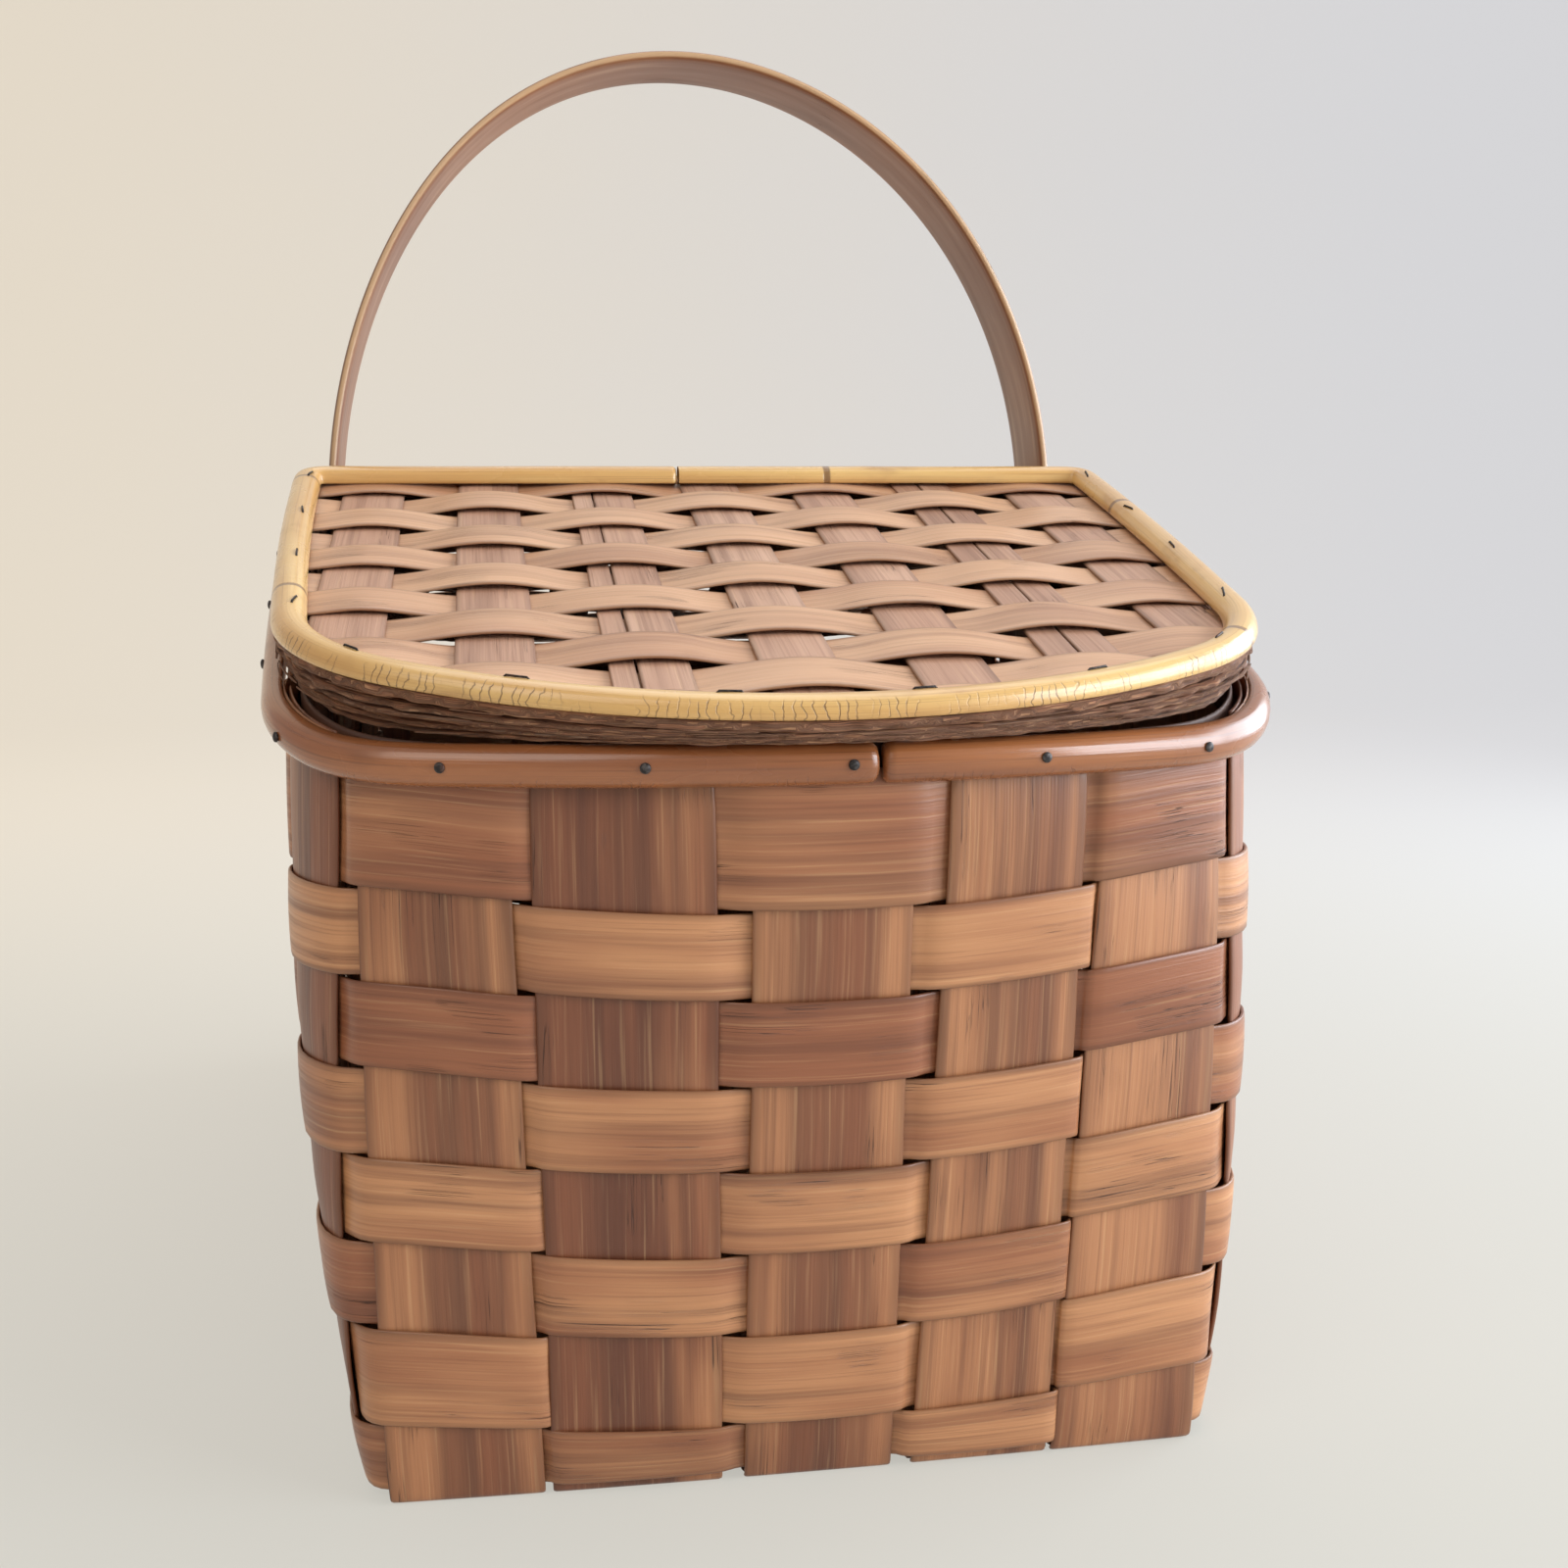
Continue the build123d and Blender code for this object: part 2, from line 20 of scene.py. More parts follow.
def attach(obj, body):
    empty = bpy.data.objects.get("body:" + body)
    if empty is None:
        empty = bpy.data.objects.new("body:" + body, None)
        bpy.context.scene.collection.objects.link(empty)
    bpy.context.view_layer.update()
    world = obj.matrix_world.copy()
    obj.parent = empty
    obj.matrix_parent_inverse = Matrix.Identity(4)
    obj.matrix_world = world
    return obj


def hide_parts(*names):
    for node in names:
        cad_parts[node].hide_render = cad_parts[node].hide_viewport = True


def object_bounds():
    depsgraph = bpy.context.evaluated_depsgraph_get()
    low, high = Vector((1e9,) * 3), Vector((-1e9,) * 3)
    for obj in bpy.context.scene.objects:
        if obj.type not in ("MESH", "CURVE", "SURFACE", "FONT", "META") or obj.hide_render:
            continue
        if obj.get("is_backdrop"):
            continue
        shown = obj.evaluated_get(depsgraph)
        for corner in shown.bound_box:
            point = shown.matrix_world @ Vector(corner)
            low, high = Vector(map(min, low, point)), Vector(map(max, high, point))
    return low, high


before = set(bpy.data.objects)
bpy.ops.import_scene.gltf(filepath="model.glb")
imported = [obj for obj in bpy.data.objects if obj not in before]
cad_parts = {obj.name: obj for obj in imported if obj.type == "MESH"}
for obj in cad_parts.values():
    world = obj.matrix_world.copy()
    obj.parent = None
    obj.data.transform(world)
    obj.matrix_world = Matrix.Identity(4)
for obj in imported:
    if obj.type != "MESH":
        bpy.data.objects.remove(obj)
model_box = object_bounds()
MM = 0.001
print("nodes loaded:", len(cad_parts))

# %% [markdown]
# ## Shader sums
#
# A wood finish is mostly sums of stretched noise. Written out as nodes they are hard to read, so one
# small class wraps a socket: adding or multiplying two of them adds the Math node that does it.


# %% A socket with arithmetic
class Wire:
    """One output of a shader. A sum on it adds a Math node, and node() adds any other kind."""

    def __init__(self, tree, socket=None):
        self.tree = tree
        self.socket = socket

    def node(self, kind, values=None, output=0, stops=None, **settings):
        made = self.tree.nodes.new(kind)
        for name, value in settings.items():
            setattr(made, name, value)
        if stops:
            elements = made.color_ramp.elements
            elements.remove(elements[1])
            elements[0].position, elements[0].color = stops[0]
            for position, colour in stops[1:]:
                elements.new(position).color = colour
        for name, value in (values or {}).items():
            if isinstance(value, Wire):
                self.tree.links.new(value.socket, made.inputs[name])
            else:
                made.inputs[name].default_value = value
        return Wire(self.tree, made.outputs[output])

    def output(self, number):
        return Wire(self.tree, self.socket.node.outputs[number])

    def sum(self, operation, *values):
        return self.node("ShaderNodeMath", dict(enumerate(values)), operation=operation)

    def __add__(self, other):
        return self.sum("ADD", self, other)

    def __sub__(self, other):
        return self.sum("SUBTRACT", self, other)

    def __rsub__(self, other):
        return self.sum("SUBTRACT", other, self)

    def __mul__(self, other):
        return self.sum("MULTIPLY", self, other)

    def __truediv__(self, other):
        return self.sum("DIVIDE", self, other)

    def __abs__(self):
        return self.sum("ABSOLUTE", self)

    __radd__ = __add__
    __rmul__ = __mul__

    def ramp(self, low, high):
        """0 below low and 1 above high, with a smooth step between."""
        return self.node("ShaderNodeMapRange", {0: self, 1: low, 2: high}, interpolation_type="SMOOTHSTEP")

    def mix(self, first, second):
        """The first colour where this is 0 and the second where it is 1."""
        return self.node("ShaderNodeMix", {0: self, 6: first, 7: second}, output=2, data_type="RGBA")


def paint(red, green, blue):
    """A colour as a paint chart gives it, from 0 to 255, as Blender's linear colour."""
    parts = [part / 255 for part in (red, green, blue)]
    return tuple(p / 12.92 if p < 0.04045 else ((p + 0.055) / 1.055) ** 2.4 for p in parts) + (1.0,)


def new_material(name):
    """A new material, the start of its shader and its surface node."""
    material = bpy.data.materials.new(name)
    material.use_nodes = True
    surface = material.node_tree.nodes["Principled BSDF"]
    return material, Wire(material.node_tree), surface


def dress(surface, colour, roughness, height, depth, **fixed):
    """Joins a colour, a roughness and a height in metres to a surface, and sets what is the same all over."""
    start = Wire(surface.id_data)
    start.tree.links.new(colour.socket, surface.inputs["Base Color"])
    start.tree.links.new(roughness.socket, surface.inputs["Roughness"])
    bump = start.node("ShaderNodeBump", {"Height": height, "Strength": 1.0, "Distance": depth})
    start.tree.links.new(bump.socket, surface.inputs["Normal"])
    for name, value in fixed.items():
        surface.inputs[name.replace("_", " ")].default_value = value


print("shader sums ready")

# %% [markdown]
# ## Old splint wood
#
# Each splint is split along the grain, so its streaks run the whole length of the strip and turn with
# it. The pieces carry their own grain coordinates: how far along, how far across, and which splint it
# is. Stretching noise along the first of them draws fibres that follow every bend. A band of dark
# heartwood runs down some splints, and their edges are coloured darker.


# %% The finish of the splints
def grain_of(start):
    """The lengths along and across a splint in millimetres, and its own number."""
    grain = start.node("ShaderNodeAttribute", output=1, attribute_name="grain")
    along = start.node("ShaderNodeSeparateXYZ", {0: grain})
    return along, along.output(1), along.output(2)


def streaks(along, across, seed, length, width, detail=4.0):
    """Noise drawn out along the grain, with marks of about one length and width in millimetres."""
    place = along.node("ShaderNodeCombineXYZ", {0: along / length, 1: across / width, 2: seed * 7.31})
    return along.node("ShaderNodeTexNoise", {"Vector": place, "Scale": 1.0, "Detail": detail})


def splint_wood(name, pale, warm, heart, roughness=0.5, contrast=1.0, worn=0.0):
    material, start, surface = new_material(name)
    along, across, seed = grain_of(start)
    figure = start.node("ShaderNodeAttribute", output=1, attribute_name="figure")
    tone = start.node("ShaderNodeSeparateXYZ", {0: figure})
    heart_middle, heart_half = tone.output(1), tone.output(2)
    edge = start.node("ShaderNodeAttribute", output=2, attribute_name="edge")

    broad = streaks(along, across, seed, 130.0, 12.0, 3.0)
    bands = streaks(along, across, seed + 3.0, 220.0, 6.5, 3.0)
    fibres = streaks(along, across, seed + 9.0, 48.0, 0.75, 5.0)
    hairs = streaks(along, across, seed + 5.0, 90.0, 1.1, 2.0)
    spots = streaks(along, across, seed + 2.0, 34.0, 15.0, 2.0)
    cells = streaks(along, across, seed + 12.0, 58.0, 60.0, 1.0)

    colour = (broad + (tone - 0.5) * 0.9 + (cells - 0.5) * 0.8).ramp(0.22, 0.8).mix(warm, pale)
    colour = (bands.ramp(0.46, 0.7) * 0.5 * contrast).mix(colour, heart)
    drift = (broad - 0.5) * 10.0 + (bands - 0.5) * 6.0
    heart_mask = (heart_half - abs(across - heart_middle + drift)).ramp(-4.0, 3.6)
    heart_colour = bands.ramp(0.35, 0.7).mix(heart, warm)
    colour = (heart_mask * 0.78).mix(colour, heart_colour)
    colour = (fibres.ramp(0.48, 0.74) * 0.26 * contrast).mix(colour, paint(98, 55, 33))
    colour = ((1.0 - fibres).ramp(0.54, 0.76) * 0.2).mix(colour, paint(228, 186, 136))
    crack = (0.01 - abs(hairs - 0.5)).ramp(0.0, 0.008) * spots.ramp(0.58, 0.68)
    colour = (crack * 0.8).mix(colour, paint(56, 31, 19))
    knot = knots(along, across, seed)
    colour = knot.mix(colour, paint(74, 39, 23))
    # Darker towards both edges of a splint, and along the seam of a swept bar
    darker_edges = edge.ramp(0.88, 1.0) * 0.45
    colour = darker_edges.mix(colour, paint(74, 43, 26))
    colour = (spots.ramp(0.55, 0.8) * 0.2).mix(colour, paint(110, 66, 42))
    colour = ((0.16 - edge).ramp(0.0, 0.1) * worn).mix(colour, paint(206, 170, 130))

    shine = roughness + (fibres - 0.5) * 0.25 + (broad - 0.5) * 0.2 + crack * 0.3
    height = fibres * 0.5 + bands * 0.35 - crack * 1.2 - knot * 0.3
    dress(surface, colour, shine, height, 0.28 * MM, Coat_Weight=0.12, Coat_Roughness=0.34)
    return material


def knots(along, across, seed):
    """Small dark knots, only here and there."""
    place = along.node("ShaderNodeCombineXYZ", {0: along / 46.0, 1: across / 30.0, 2: seed * 3.7})
    cells = along.node("ShaderNodeTexVoronoi", {"Vector": place, "Scale": 1.0})
    chosen = along.node("ShaderNodeSeparateColor", {0: cells.output(1)}).ramp(0.86, 0.88)
    return (0.085 - cells).ramp(0.0, 0.05) * chosen


stake_wood = splint_wood("Wood_stake", paint(180, 123, 84), paint(136, 81, 54), paint(88, 49, 35), 0.42, 1.15)
weaver_wood = splint_wood(
    "Wood_weaver", paint(196, 139, 96), paint(148, 90, 60), paint(104, 59, 41), 0.38, 1.15
)
lid_strip_wood = splint_wood(
    "Wood_lid_strip", paint(206, 160, 124), paint(180, 130, 97), paint(142, 95, 68), 0.4, 0.9
)
lid_stake_wood = splint_wood(
    "Wood_lid_stake", paint(206, 166, 140), paint(182, 138, 113), paint(128, 88, 68), 0.5, 1.1
)
handle_wood = splint_wood(
    "Wood_handle", paint(158, 108, 74), paint(128, 82, 55), paint(86, 52, 36), 0.4, worn=0.7
)
print("splint woods:", len(bpy.data.materials))

# %% [markdown]
# ## Cane, bark, iron and wire
#
# Cane is the outer skin of rattan. It is smooth and glossy, has fine long fibres, and a darker ring
# wherever a leaf grew. Old cane also has fine cracks across its bend. The split canes under the lid
# still have their rough bark.


# %% The finish of the canes, the bark and the metal
def cane_skin(name, pale, warm, dark, rings, ring_reach, ticks, roughness):
    material, start, surface = new_material(name)
    along, around, seed = grain_of(start)
    fibres = streaks(along, around, seed, 60.0, 0.35, 5.0)
    broad = streaks(along, around, seed + 4.0, 90.0, 6.0)
    patches = streaks(along, around, seed + 8.0, 22.0, 9.0, 3.0)
    colour = broad.ramp(0.3, 0.7).mix(pale, warm)
    colour = (fibres.ramp(0.5, 0.75) * 0.45).mix(colour, dark)
    colour = (patches.ramp(0.56, 0.75) * 0.4).mix(colour, dark)
    ring = (ring_reach - abs(along - rings[0])).ramp(0.0, ring_reach * 0.5)
    for place in rings[1:]:
        ring = ring.sum("MAXIMUM", ring, (ring_reach - abs(along - place)).ramp(0.0, ring_reach * 0.5))
    colour = (ring * 0.75).mix(colour, paint(92, 52, 28))
    phase = along / 2.3 + streaks(along, around, seed + 6.0, 6.0, 5.0, 3.0) * 2.6
    fine = abs(phase.sum("FRACT", phase) - 0.5)
    where = streaks(along, around, seed + 7.0, 9.0, 20.0, 3.0).ramp(0.4, 0.62)
    reach = 8.2 + streaks(along, around, seed + 9.0, 2.0, 30.0, 1.0) * 2.6
    tick = (0.1 - fine).ramp(0.0, 0.07) * where * (reach - around).ramp(0.0, 1.2) * ticks
    colour = (tick * 0.75).mix(colour, paint(74, 42, 24))
    height = fibres * 0.4 + broad * 0.5 - tick * 0.9 - ring * 0.6
    shine = roughness + (patches - 0.5) * 0.35 + tick * 0.3
    dress(surface, colour, shine, height, 0.25 * MM, Coat_Roughness=0.16, Coat_Weight=0.55)
    return material


def bark_skin(name):
    material, start, surface = new_material(name)
    along, around, seed = grain_of(start)
    fibres = streaks(along, around, seed, 22.0, 0.5, 8.0)
    flakes = streaks(along, around, seed + 2.0, 9.0, 2.2, 5.0)
    grey = streaks(along, around, seed + 6.0, 70.0, 8.0)
    colour = fibres.ramp(0.34, 0.62).mix(paint(84, 50, 35), paint(168, 113, 80))
    colour = (flakes.ramp(0.5, 0.66) * 0.75).mix(colour, paint(204, 152, 112))
    colour = (grey.ramp(0.52, 0.75) * 0.45).mix(colour, paint(142, 124, 110))
    dress(surface, colour, 0.7 + (fibres - 0.5) * 0.3, fibres + flakes * 0.8, 0.7 * MM)
    return material


def old_iron(name, dark, worn, roughness):
    material, start, surface = new_material(name)
    place = start.node("ShaderNodeTexCoord", output=3)
    rust = start.node("ShaderNodeTexNoise", {"Vector": place, "Scale": 900.0, "Detail": 4.0})
    blotch = start.node("ShaderNodeTexNoise", {"Vector": place, "Scale": 240.0, "Detail": 3.0})
    colour = rust.ramp(0.4, 0.65).mix(dark, worn)
    colour = (blotch.ramp(0.55, 0.7) * 0.5).mix(colour, paint(96, 54, 34))
    dress(surface, colour, roughness + (rust - 0.5) * 0.3, rust, 0.15 * MM, Metallic=0.6)
    return material


def floor_finish(name, warm, cool, near, glow):
    """A pale surface, warmer on the left. Part of it glows for the camera, and the rest keeps the shadow."""
    material, start, surface = new_material(name)
    place = start.node("ShaderNodeTexCoord", output=3)
    across = start.node("ShaderNodeSeparateXYZ", {0: place})
    mottle = start.node("ShaderNodeTexNoise", {"Vector": place, "Scale": 3.0, "Detail": 3.0})
    sideways = across / (across.output(1) + 1.3) + (mottle - 0.5) * 0.06
    colour = sideways.ramp(-0.32, 0.5).mix(warm, cool)
    colour = (1.0 - across.output(1).ramp(-0.6, 1.4)).mix(colour, near)
    dress(surface, colour, 0.8 + (mottle - 0.5) * 0.1, mottle, 0.2 * MM, Specular_IOR_Level=0.1)
    rays = start.node("ShaderNodeLightPath")
    seen = rays.sum("MAXIMUM", rays.sum("MAXIMUM", rays, rays.output(3)), rays.output(6))
    light = start.node("ShaderNodeEmission", {"Color": colour, "Strength": 1.0})
    lit = Wire(start.tree, surface.outputs[0])
    both = start.node("ShaderNodeMixShader", {0: seen * glow, 1: lit, 2: light})
    start.tree.links.new(both.socket, material.node_tree.nodes["Material Output"].inputs["Surface"])
    return material


iron = old_iron("Iron_nail", paint(46, 42, 42), paint(88, 82, 80), 0.5)
wire = old_iron("Iron_wire", paint(36, 31, 30), paint(66, 58, 54), 0.45)
bark = bark_skin("Bark_split_cane")
print("canes, bark and metal ready")

# %% [markdown]
# ## The wall's shape
#
# Seen from above, the wall is a rounded box whose ends and sides bow outwards. It is nearly square
# at the base, and rounder and wider at the rim. The plan at any height is made of arcs that run
# into one another, so a point on the wall is found from its height and its length round the wall.
# All these lengths are in millimetres, and a point is only turned into metres when it is placed.

# %% Sizes of the wall and its splints
base_half_width, rim_half_width = 111.0, 131.0
base_half_length, rim_half_length = 225.0, 255.0
base_corner_r, rim_corner_r = 6.0, 50.0
base_end_bow_r, rim_end_bow_r = 3000.0, 250.0
base_side_bow_r, rim_side_bow_r = 9000.0, 2500.0
side_flare_power = 2.2
stake_thickness, weaver_thickness = 1.2, 1.0
weaver_offset = 1.22
end_stake_width, side_stake_width = 39.0, 37.0
base_end_reach, rim_end_reach = 104.5, 111.0
base_corner_reach, rim_corner_reach = 115.5, 116.0
row_pitch, row_gap = 22.0, 0.8
row_bottoms = (3.3, 21.3, 47.3, 69.3, 91.3, 113.3, 135.3, 157.3)
front_shift = {0: 3.5, 1: 3.5}
rim_end_height, ridge_height = 192.2, 254.9
rim_level_to, ridge_half_length = 232.0, 31.5
rim_bend_half = 11.5
wall_top_at_ends = 191.4
flare_top = wall_top_at_ends - 12.0
fold_r = 1.8
row_sag, sag_half_width, sag_from, sag_full_height = 5.5, 95, 205, 28
stakes_round = 32


def between(low, high, share):
    return low + (high - low) * share


def eased(share):
    share = min(max(share, 0.0), 1.0)
    return share * share * (3 - 2 * share)


class Plan:
    """A plan of tangent arcs. Places run round it from the middle of the front end, to the right first."""

    def __init__(self, half_width, half_length, corner_r, end_r, side_r):
        self.radii = (end_r, corner_r, side_r)
        end_centre = Vector((0.0, half_length - end_r))
        side_centre = Vector((half_width - side_r, 0.0))
        line = side_centre - end_centre
        apart = line.length
        line.normalize()
        forward = ((end_r - corner_r) ** 2 - (side_r - corner_r) ** 2 + apart**2) / (2 * apart)
        aside = math.sqrt((end_r - corner_r) ** 2 - forward**2)
        foot, across = end_centre + line * forward, Vector((-line.y, line.x)) * aside
        corner_centre = max(foot + across, foot - across, key=lambda centre: centre.x + centre.y)
        self.centres = (end_centre, corner_centre, side_centre)
        from_end, from_side = corner_centre - end_centre, corner_centre - side_centre
        self.end_angle = math.atan2(from_end.y, from_end.x)
        self.side_angle = math.atan2(from_side.y, from_side.x)
        self.end_length = end_r * (math.pi / 2 - self.end_angle)
        self.corner_length = corner_r * (self.end_angle - self.side_angle)
        self.quarter = self.end_length + self.corner_length + side_r * self.side_angle

    def arc(self, place):
        if place <= self.end_length:
            return math.pi / 2 - place / self.radii[0], 0
        place -= self.end_length
        if place <= self.corner_length:
            return self.end_angle - place / self.radii[1], 1
        return self.side_angle - (place - self.corner_length) / self.radii[2], 2

    def at(self, place):
        """The point at a place round the plan, and the way out there."""
        place %= 4 * self.quarter
        turn = int(place // self.quarter)
        place -= turn * self.quarter
        if turn % 2:
            place = self.quarter - place
        angle, which = self.arc(place)
        out = Vector((math.cos(angle), math.sin(angle)))
        point = self.centres[which] + out * self.radii[which]
        flip = Vector((1 if turn < 2 else -1, 1 if turn in (1, 2) else -1))
        return point * flip, out * flip


def flare_share(height):
    """How far a height is up the flare of the wall, from 0 at the base to 1 where the flare ends."""
    return min(max((height - stake_thickness) / (flare_top - stake_thickness), 0.0), 1.0)


@lru_cache(maxsize=None)
def wall_plan(height):
    share = flare_share(height)
    side_share = 1 - (1 - share) ** side_flare_power
    return Plan(
        between(base_half_width, rim_half_width, side_share),
        between(base_half_length, rim_half_length, share),
        between(base_corner_r, rim_corner_r, share),
        1 / between(1 / base_end_bow_r, 1 / rim_end_bow_r, share),
        1 / between(1 / base_side_bow_r, 1 / rim_side_bow_r, share),
    )


def wall_point(place, height, out=0.0):
    """A point on the wall, moved outwards."""
    point, away = wall_plan(round(height, 1)).at(place)
    return Vector((point.x + away.x * out, point.y + away.y * out, height))


@lru_cache(maxsize=None)
def stakes_at(height):
    """The stakes at a height as (place round the wall, half width), from the front's middle to the right."""
    plan = wall_plan(height)
    share = flare_share(height)
    end_pitch = (between(base_end_reach, rim_end_reach, share) - end_stake_width / 2) / 2
    corner = between(base_corner_reach, rim_corner_reach, share)
    side_pitch = (plan.quarter - corner - side_stake_width / 2) / 5
    quarter = [(n * end_pitch, end_stake_width / 2) for n in range(3)]
    quarter += [(plan.quarter - n * side_pitch, side_stake_width / 2) for n in range(5, -1, -1)]
    back = [(2 * plan.quarter - place, half) for place, half in reversed(quarter[:-1])]
    right = quarter + back
    left = [(4 * plan.quarter - place, half) for place, half in reversed(right[1:-1])]
    stakes = right + left
    for number, shift in front_shift.items():
        stakes[number] = (stakes[number][0] + shift, stakes[number][1])
    return stakes


def eased_past(distance):
    """How far a distance is past zero, with the start of it eased over the rim's bend."""
    if abs(distance) >= rim_bend_half:
        return max(distance, 0.0)
    return (distance + rim_bend_half) ** 2 / (4 * rim_bend_half)


def rim_top(y):
    """The height of the rim's top: level round the ends, sloping up the sides, and level at the ridge."""
    slope = (ridge_height - rim_end_height) / (rim_level_to - ridge_half_length)
    return ridge_height - slope * (eased_past(abs(y) - ridge_half_length) - eased_past(abs(y) - rim_level_to))


def sag(point):
    """The rows of the end walls hang a little in their middles."""
    middle = max(0.0, 1 - (point.x / sag_half_width) ** 2) * eased((abs(point.y) - sag_from) / 20)
    return -row_sag * middle * eased(point.z / sag_full_height)


print("round the rim:", round(4 * wall_plan(ridge_height).quarter), "mm")

# %% [markdown]
# ## Making splints
#
# Every splint starts as a flat grid. A rule carries each point of the grid to its place in the weave,
# and the point also keeps its length along and across the grain for the wood finish. The grid then
# gets its thickness from a Solidify modifier, and one level of subdivision softens its bends.

# %% Helpers for splints and pieces
lanes = (-1.0, -0.93, -0.5, 0.0, 0.5, 0.93, 1.0)
Look = namedtuple("Look", "seed tone heart_middle heart_half")
chance = random.Random(1907)
no_heart = -9.0


def new_look(tone=None, hearted=0.45):
    """A look for one splint. Fewer than half of the splints have a band of heartwood."""
    tone = chance.uniform(0.3, 0.75) if tone is None else tone
    half = chance.uniform(3.0, 11.0) if chance.random() < hearted else no_heart
    return Look(chance.uniform(0, 90), tone, chance.uniform(-9, 9), half)


def plain_look(seed, tone=0.5):
    return Look(seed, tone, 0.0, no_heart)


def start_mesh():
    bm = bmesh.new()
    bm.verts.layers.float_vector.new("grain")
    bm.verts.layers.float_vector.new("figure")
    bm.verts.layers.float.new("edge")
    return bm


def mark(bm, vertex, point, along, across, edge, look):
    """Puts a vertex at its place, in metres, and notes what the finish needs to know there."""
    vertex.co = point * MM
    vertex[bm.verts.layers.float_vector["grain"]] = (along, across, look.seed)
    vertex[bm.verts.layers.float_vector["figure"]] = (look.tone, look.heart_middle, look.heart_half)
    vertex[bm.verts.layers.float["edge"]] = edge


def add_splint(bm, steps, carry, half_width, look):
    """Adds a flat strip. carry(step, lane) gives the place of each point and its length along the grain."""
    grid = bmesh.ops.create_grid(bm, x_segments=steps - 1, y_segments=len(lanes) - 1, size=0.5)
    for vertex in grid["verts"]:
        step = round((vertex.co.x + 0.5) * (steps - 1))
        lane = lanes[round((vertex.co.y + 0.5) * (len(lanes) - 1))]
        point, along = carry(step, lane)
        mark(bm, vertex, point, along, lane * half_width, abs(lane), look)


def wander(seed, length, size):
    """A gentle wave between -1 and 1 along a splint."""
    return noise.noise(Vector((length / size, seed * 5.17, 1.3)))


def finish_piece(bm, name, material, body, nodes=(), thickness=0.0, soften=1):
    """Makes a mesh a piece of the part: it rides on its body and stands for its nodes of the model."""
    mesh = bpy.data.meshes.new(name)
    bm.to_mesh(mesh)
    bm.free()
    mesh.shade_smooth()
    mesh.materials.append(material)
    piece = bpy.data.objects.new(name, mesh)
    bpy.context.scene.collection.objects.link(piece)
    if thickness:
        solid = piece.modifiers.new("Thickness", "SOLIDIFY")
        solid.thickness = thickness * MM
        solid.offset = 0.0
        solid.use_even_offset = False
    if soften:
        smooth = piece.modifiers.new("Soften", "SUBSURF")
        smooth.levels = smooth.render_levels = soften
    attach(piece, body)
    if nodes:
        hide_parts(*nodes)
    print(name, "faces before its modifiers:", len(mesh.polygons))


print("a splint has", len(lanes), "lanes of points across it")

# %% [markdown]
# ## The stakes
#
# The stakes are the upright splints. They rise out of the base with a tight fold and run up behind
# and in front of the rows. Where a stake shows, it bulges out a little between the rows above and
# below it. The five of the front end have the widths and the dark bands of the photograph.

# %% The looks of the front stakes
front_looks = {
    30: Look(3.1, 0.66, 1.0, 8.0),
    31: Look(8.4, 0.32, -4.5, 14.0),
    0: Look(12.7, 0.62, 0.5, 10.5),
    1: Look(21.9, 0.7, 9.5, 3.2),
    2: Look(33.2, 0.72, 12.0, 3.0),
}
front_widths = {30: 0.99, 31: 1.1, 0: 0.98, 1: 0.93, 2: 1.0}
fold_degrees = (0, 22, 45, 68, 90)
cut_below_rim = 0.8
stake_bulge, stake_edge_wave, stake_depth_wave = 0.55, 0.45, 0.12


def row_of(height):
    """The row at a height, counted down from the wide one under the rim, and the share of it below."""
    if height >= wall_top_at_ends:
        level = int((height - wall_top_at_ends) // row_pitch)
        return -level, (height - wall_top_at_ends) / row_pitch - level
    level = max(bisect_right(row_bottoms, height) - 1, 0)
    low, high = (row_bottoms + (wall_top_at_ends,))[level : level + 2]
    return 8 - level, max((height - low) / (high - low), 0.0)


def stake_heights(top):
    """Heights at which a stake bends, from the top of its fold to a little below its top."""
    rows = [*row_bottoms] + [wall_top_at_ends + n * row_pitch for n in range(3)]
    heights = [7.0]
    for low, high in zip(rows, rows[1:] + [rows[-1] + row_pitch]):
        heights += [low + 2.5, (low + high) / 2, high - 2.5]
    return [height for height in heights if 7.0 <= height < top - 3.0]


def add_stake(bm, number, floor, look):
    """Adds one stake. Its first points turn up out of the base, and its last are cut along the rim."""
    width_share = front_widths.get(number, chance.uniform(0.96, 1.02))
    lean = chance.uniform(-0.6, 0.6)
    at_rim = wall_point(stakes_at(ridge_height)[number][0], ridge_height)
    top = rim_top(at_rim.y) - cut_below_rim
    fold = [math.radians(angle) for angle in fold_degrees]
    heights = stake_heights(top)
    steps = len(fold) + len(heights) + 1

    def carry(step, lane):
        if step < len(fold):
            turn = fold[step]
            height = floor + fold_r * (1 - math.cos(turn))
            out = -fold_r * (1 - math.sin(turn))
            place, half = stakes_at(stake_thickness)[number]
            point = wall_point(place + lane * half * width_share, stake_thickness, out)
            point.z = height
            return point, height
        last = step == steps - 1
        height = top if last else heights[step - len(fold)]
        row, share = row_of(height)
        shows = (number + row) % 2 == 0
        place, half = stakes_at(round(height, 1))[number]
        edge_wave = stake_edge_wave * wander(look.seed + lane, height, 24.0)
        place += lane * half * width_share + lean * height / 190 + edge_wave
        out = stake_bulge * math.sin(math.pi * share) * (1 - 0.5 * lane * lane) if shows else 0.0
        out += stake_depth_wave * wander(look.seed + 5, height, 40.0)
        point = wall_point(place, height, out)
        if last:
            point.z = rim_top(point.y) - cut_below_rim
        point.z += sag(point)
        return point, height

    half = (end_stake_width if number % 16 in (0, 1, 2, 14, 15) else side_stake_width) / 2
    add_splint(bm, steps, carry, half, look)


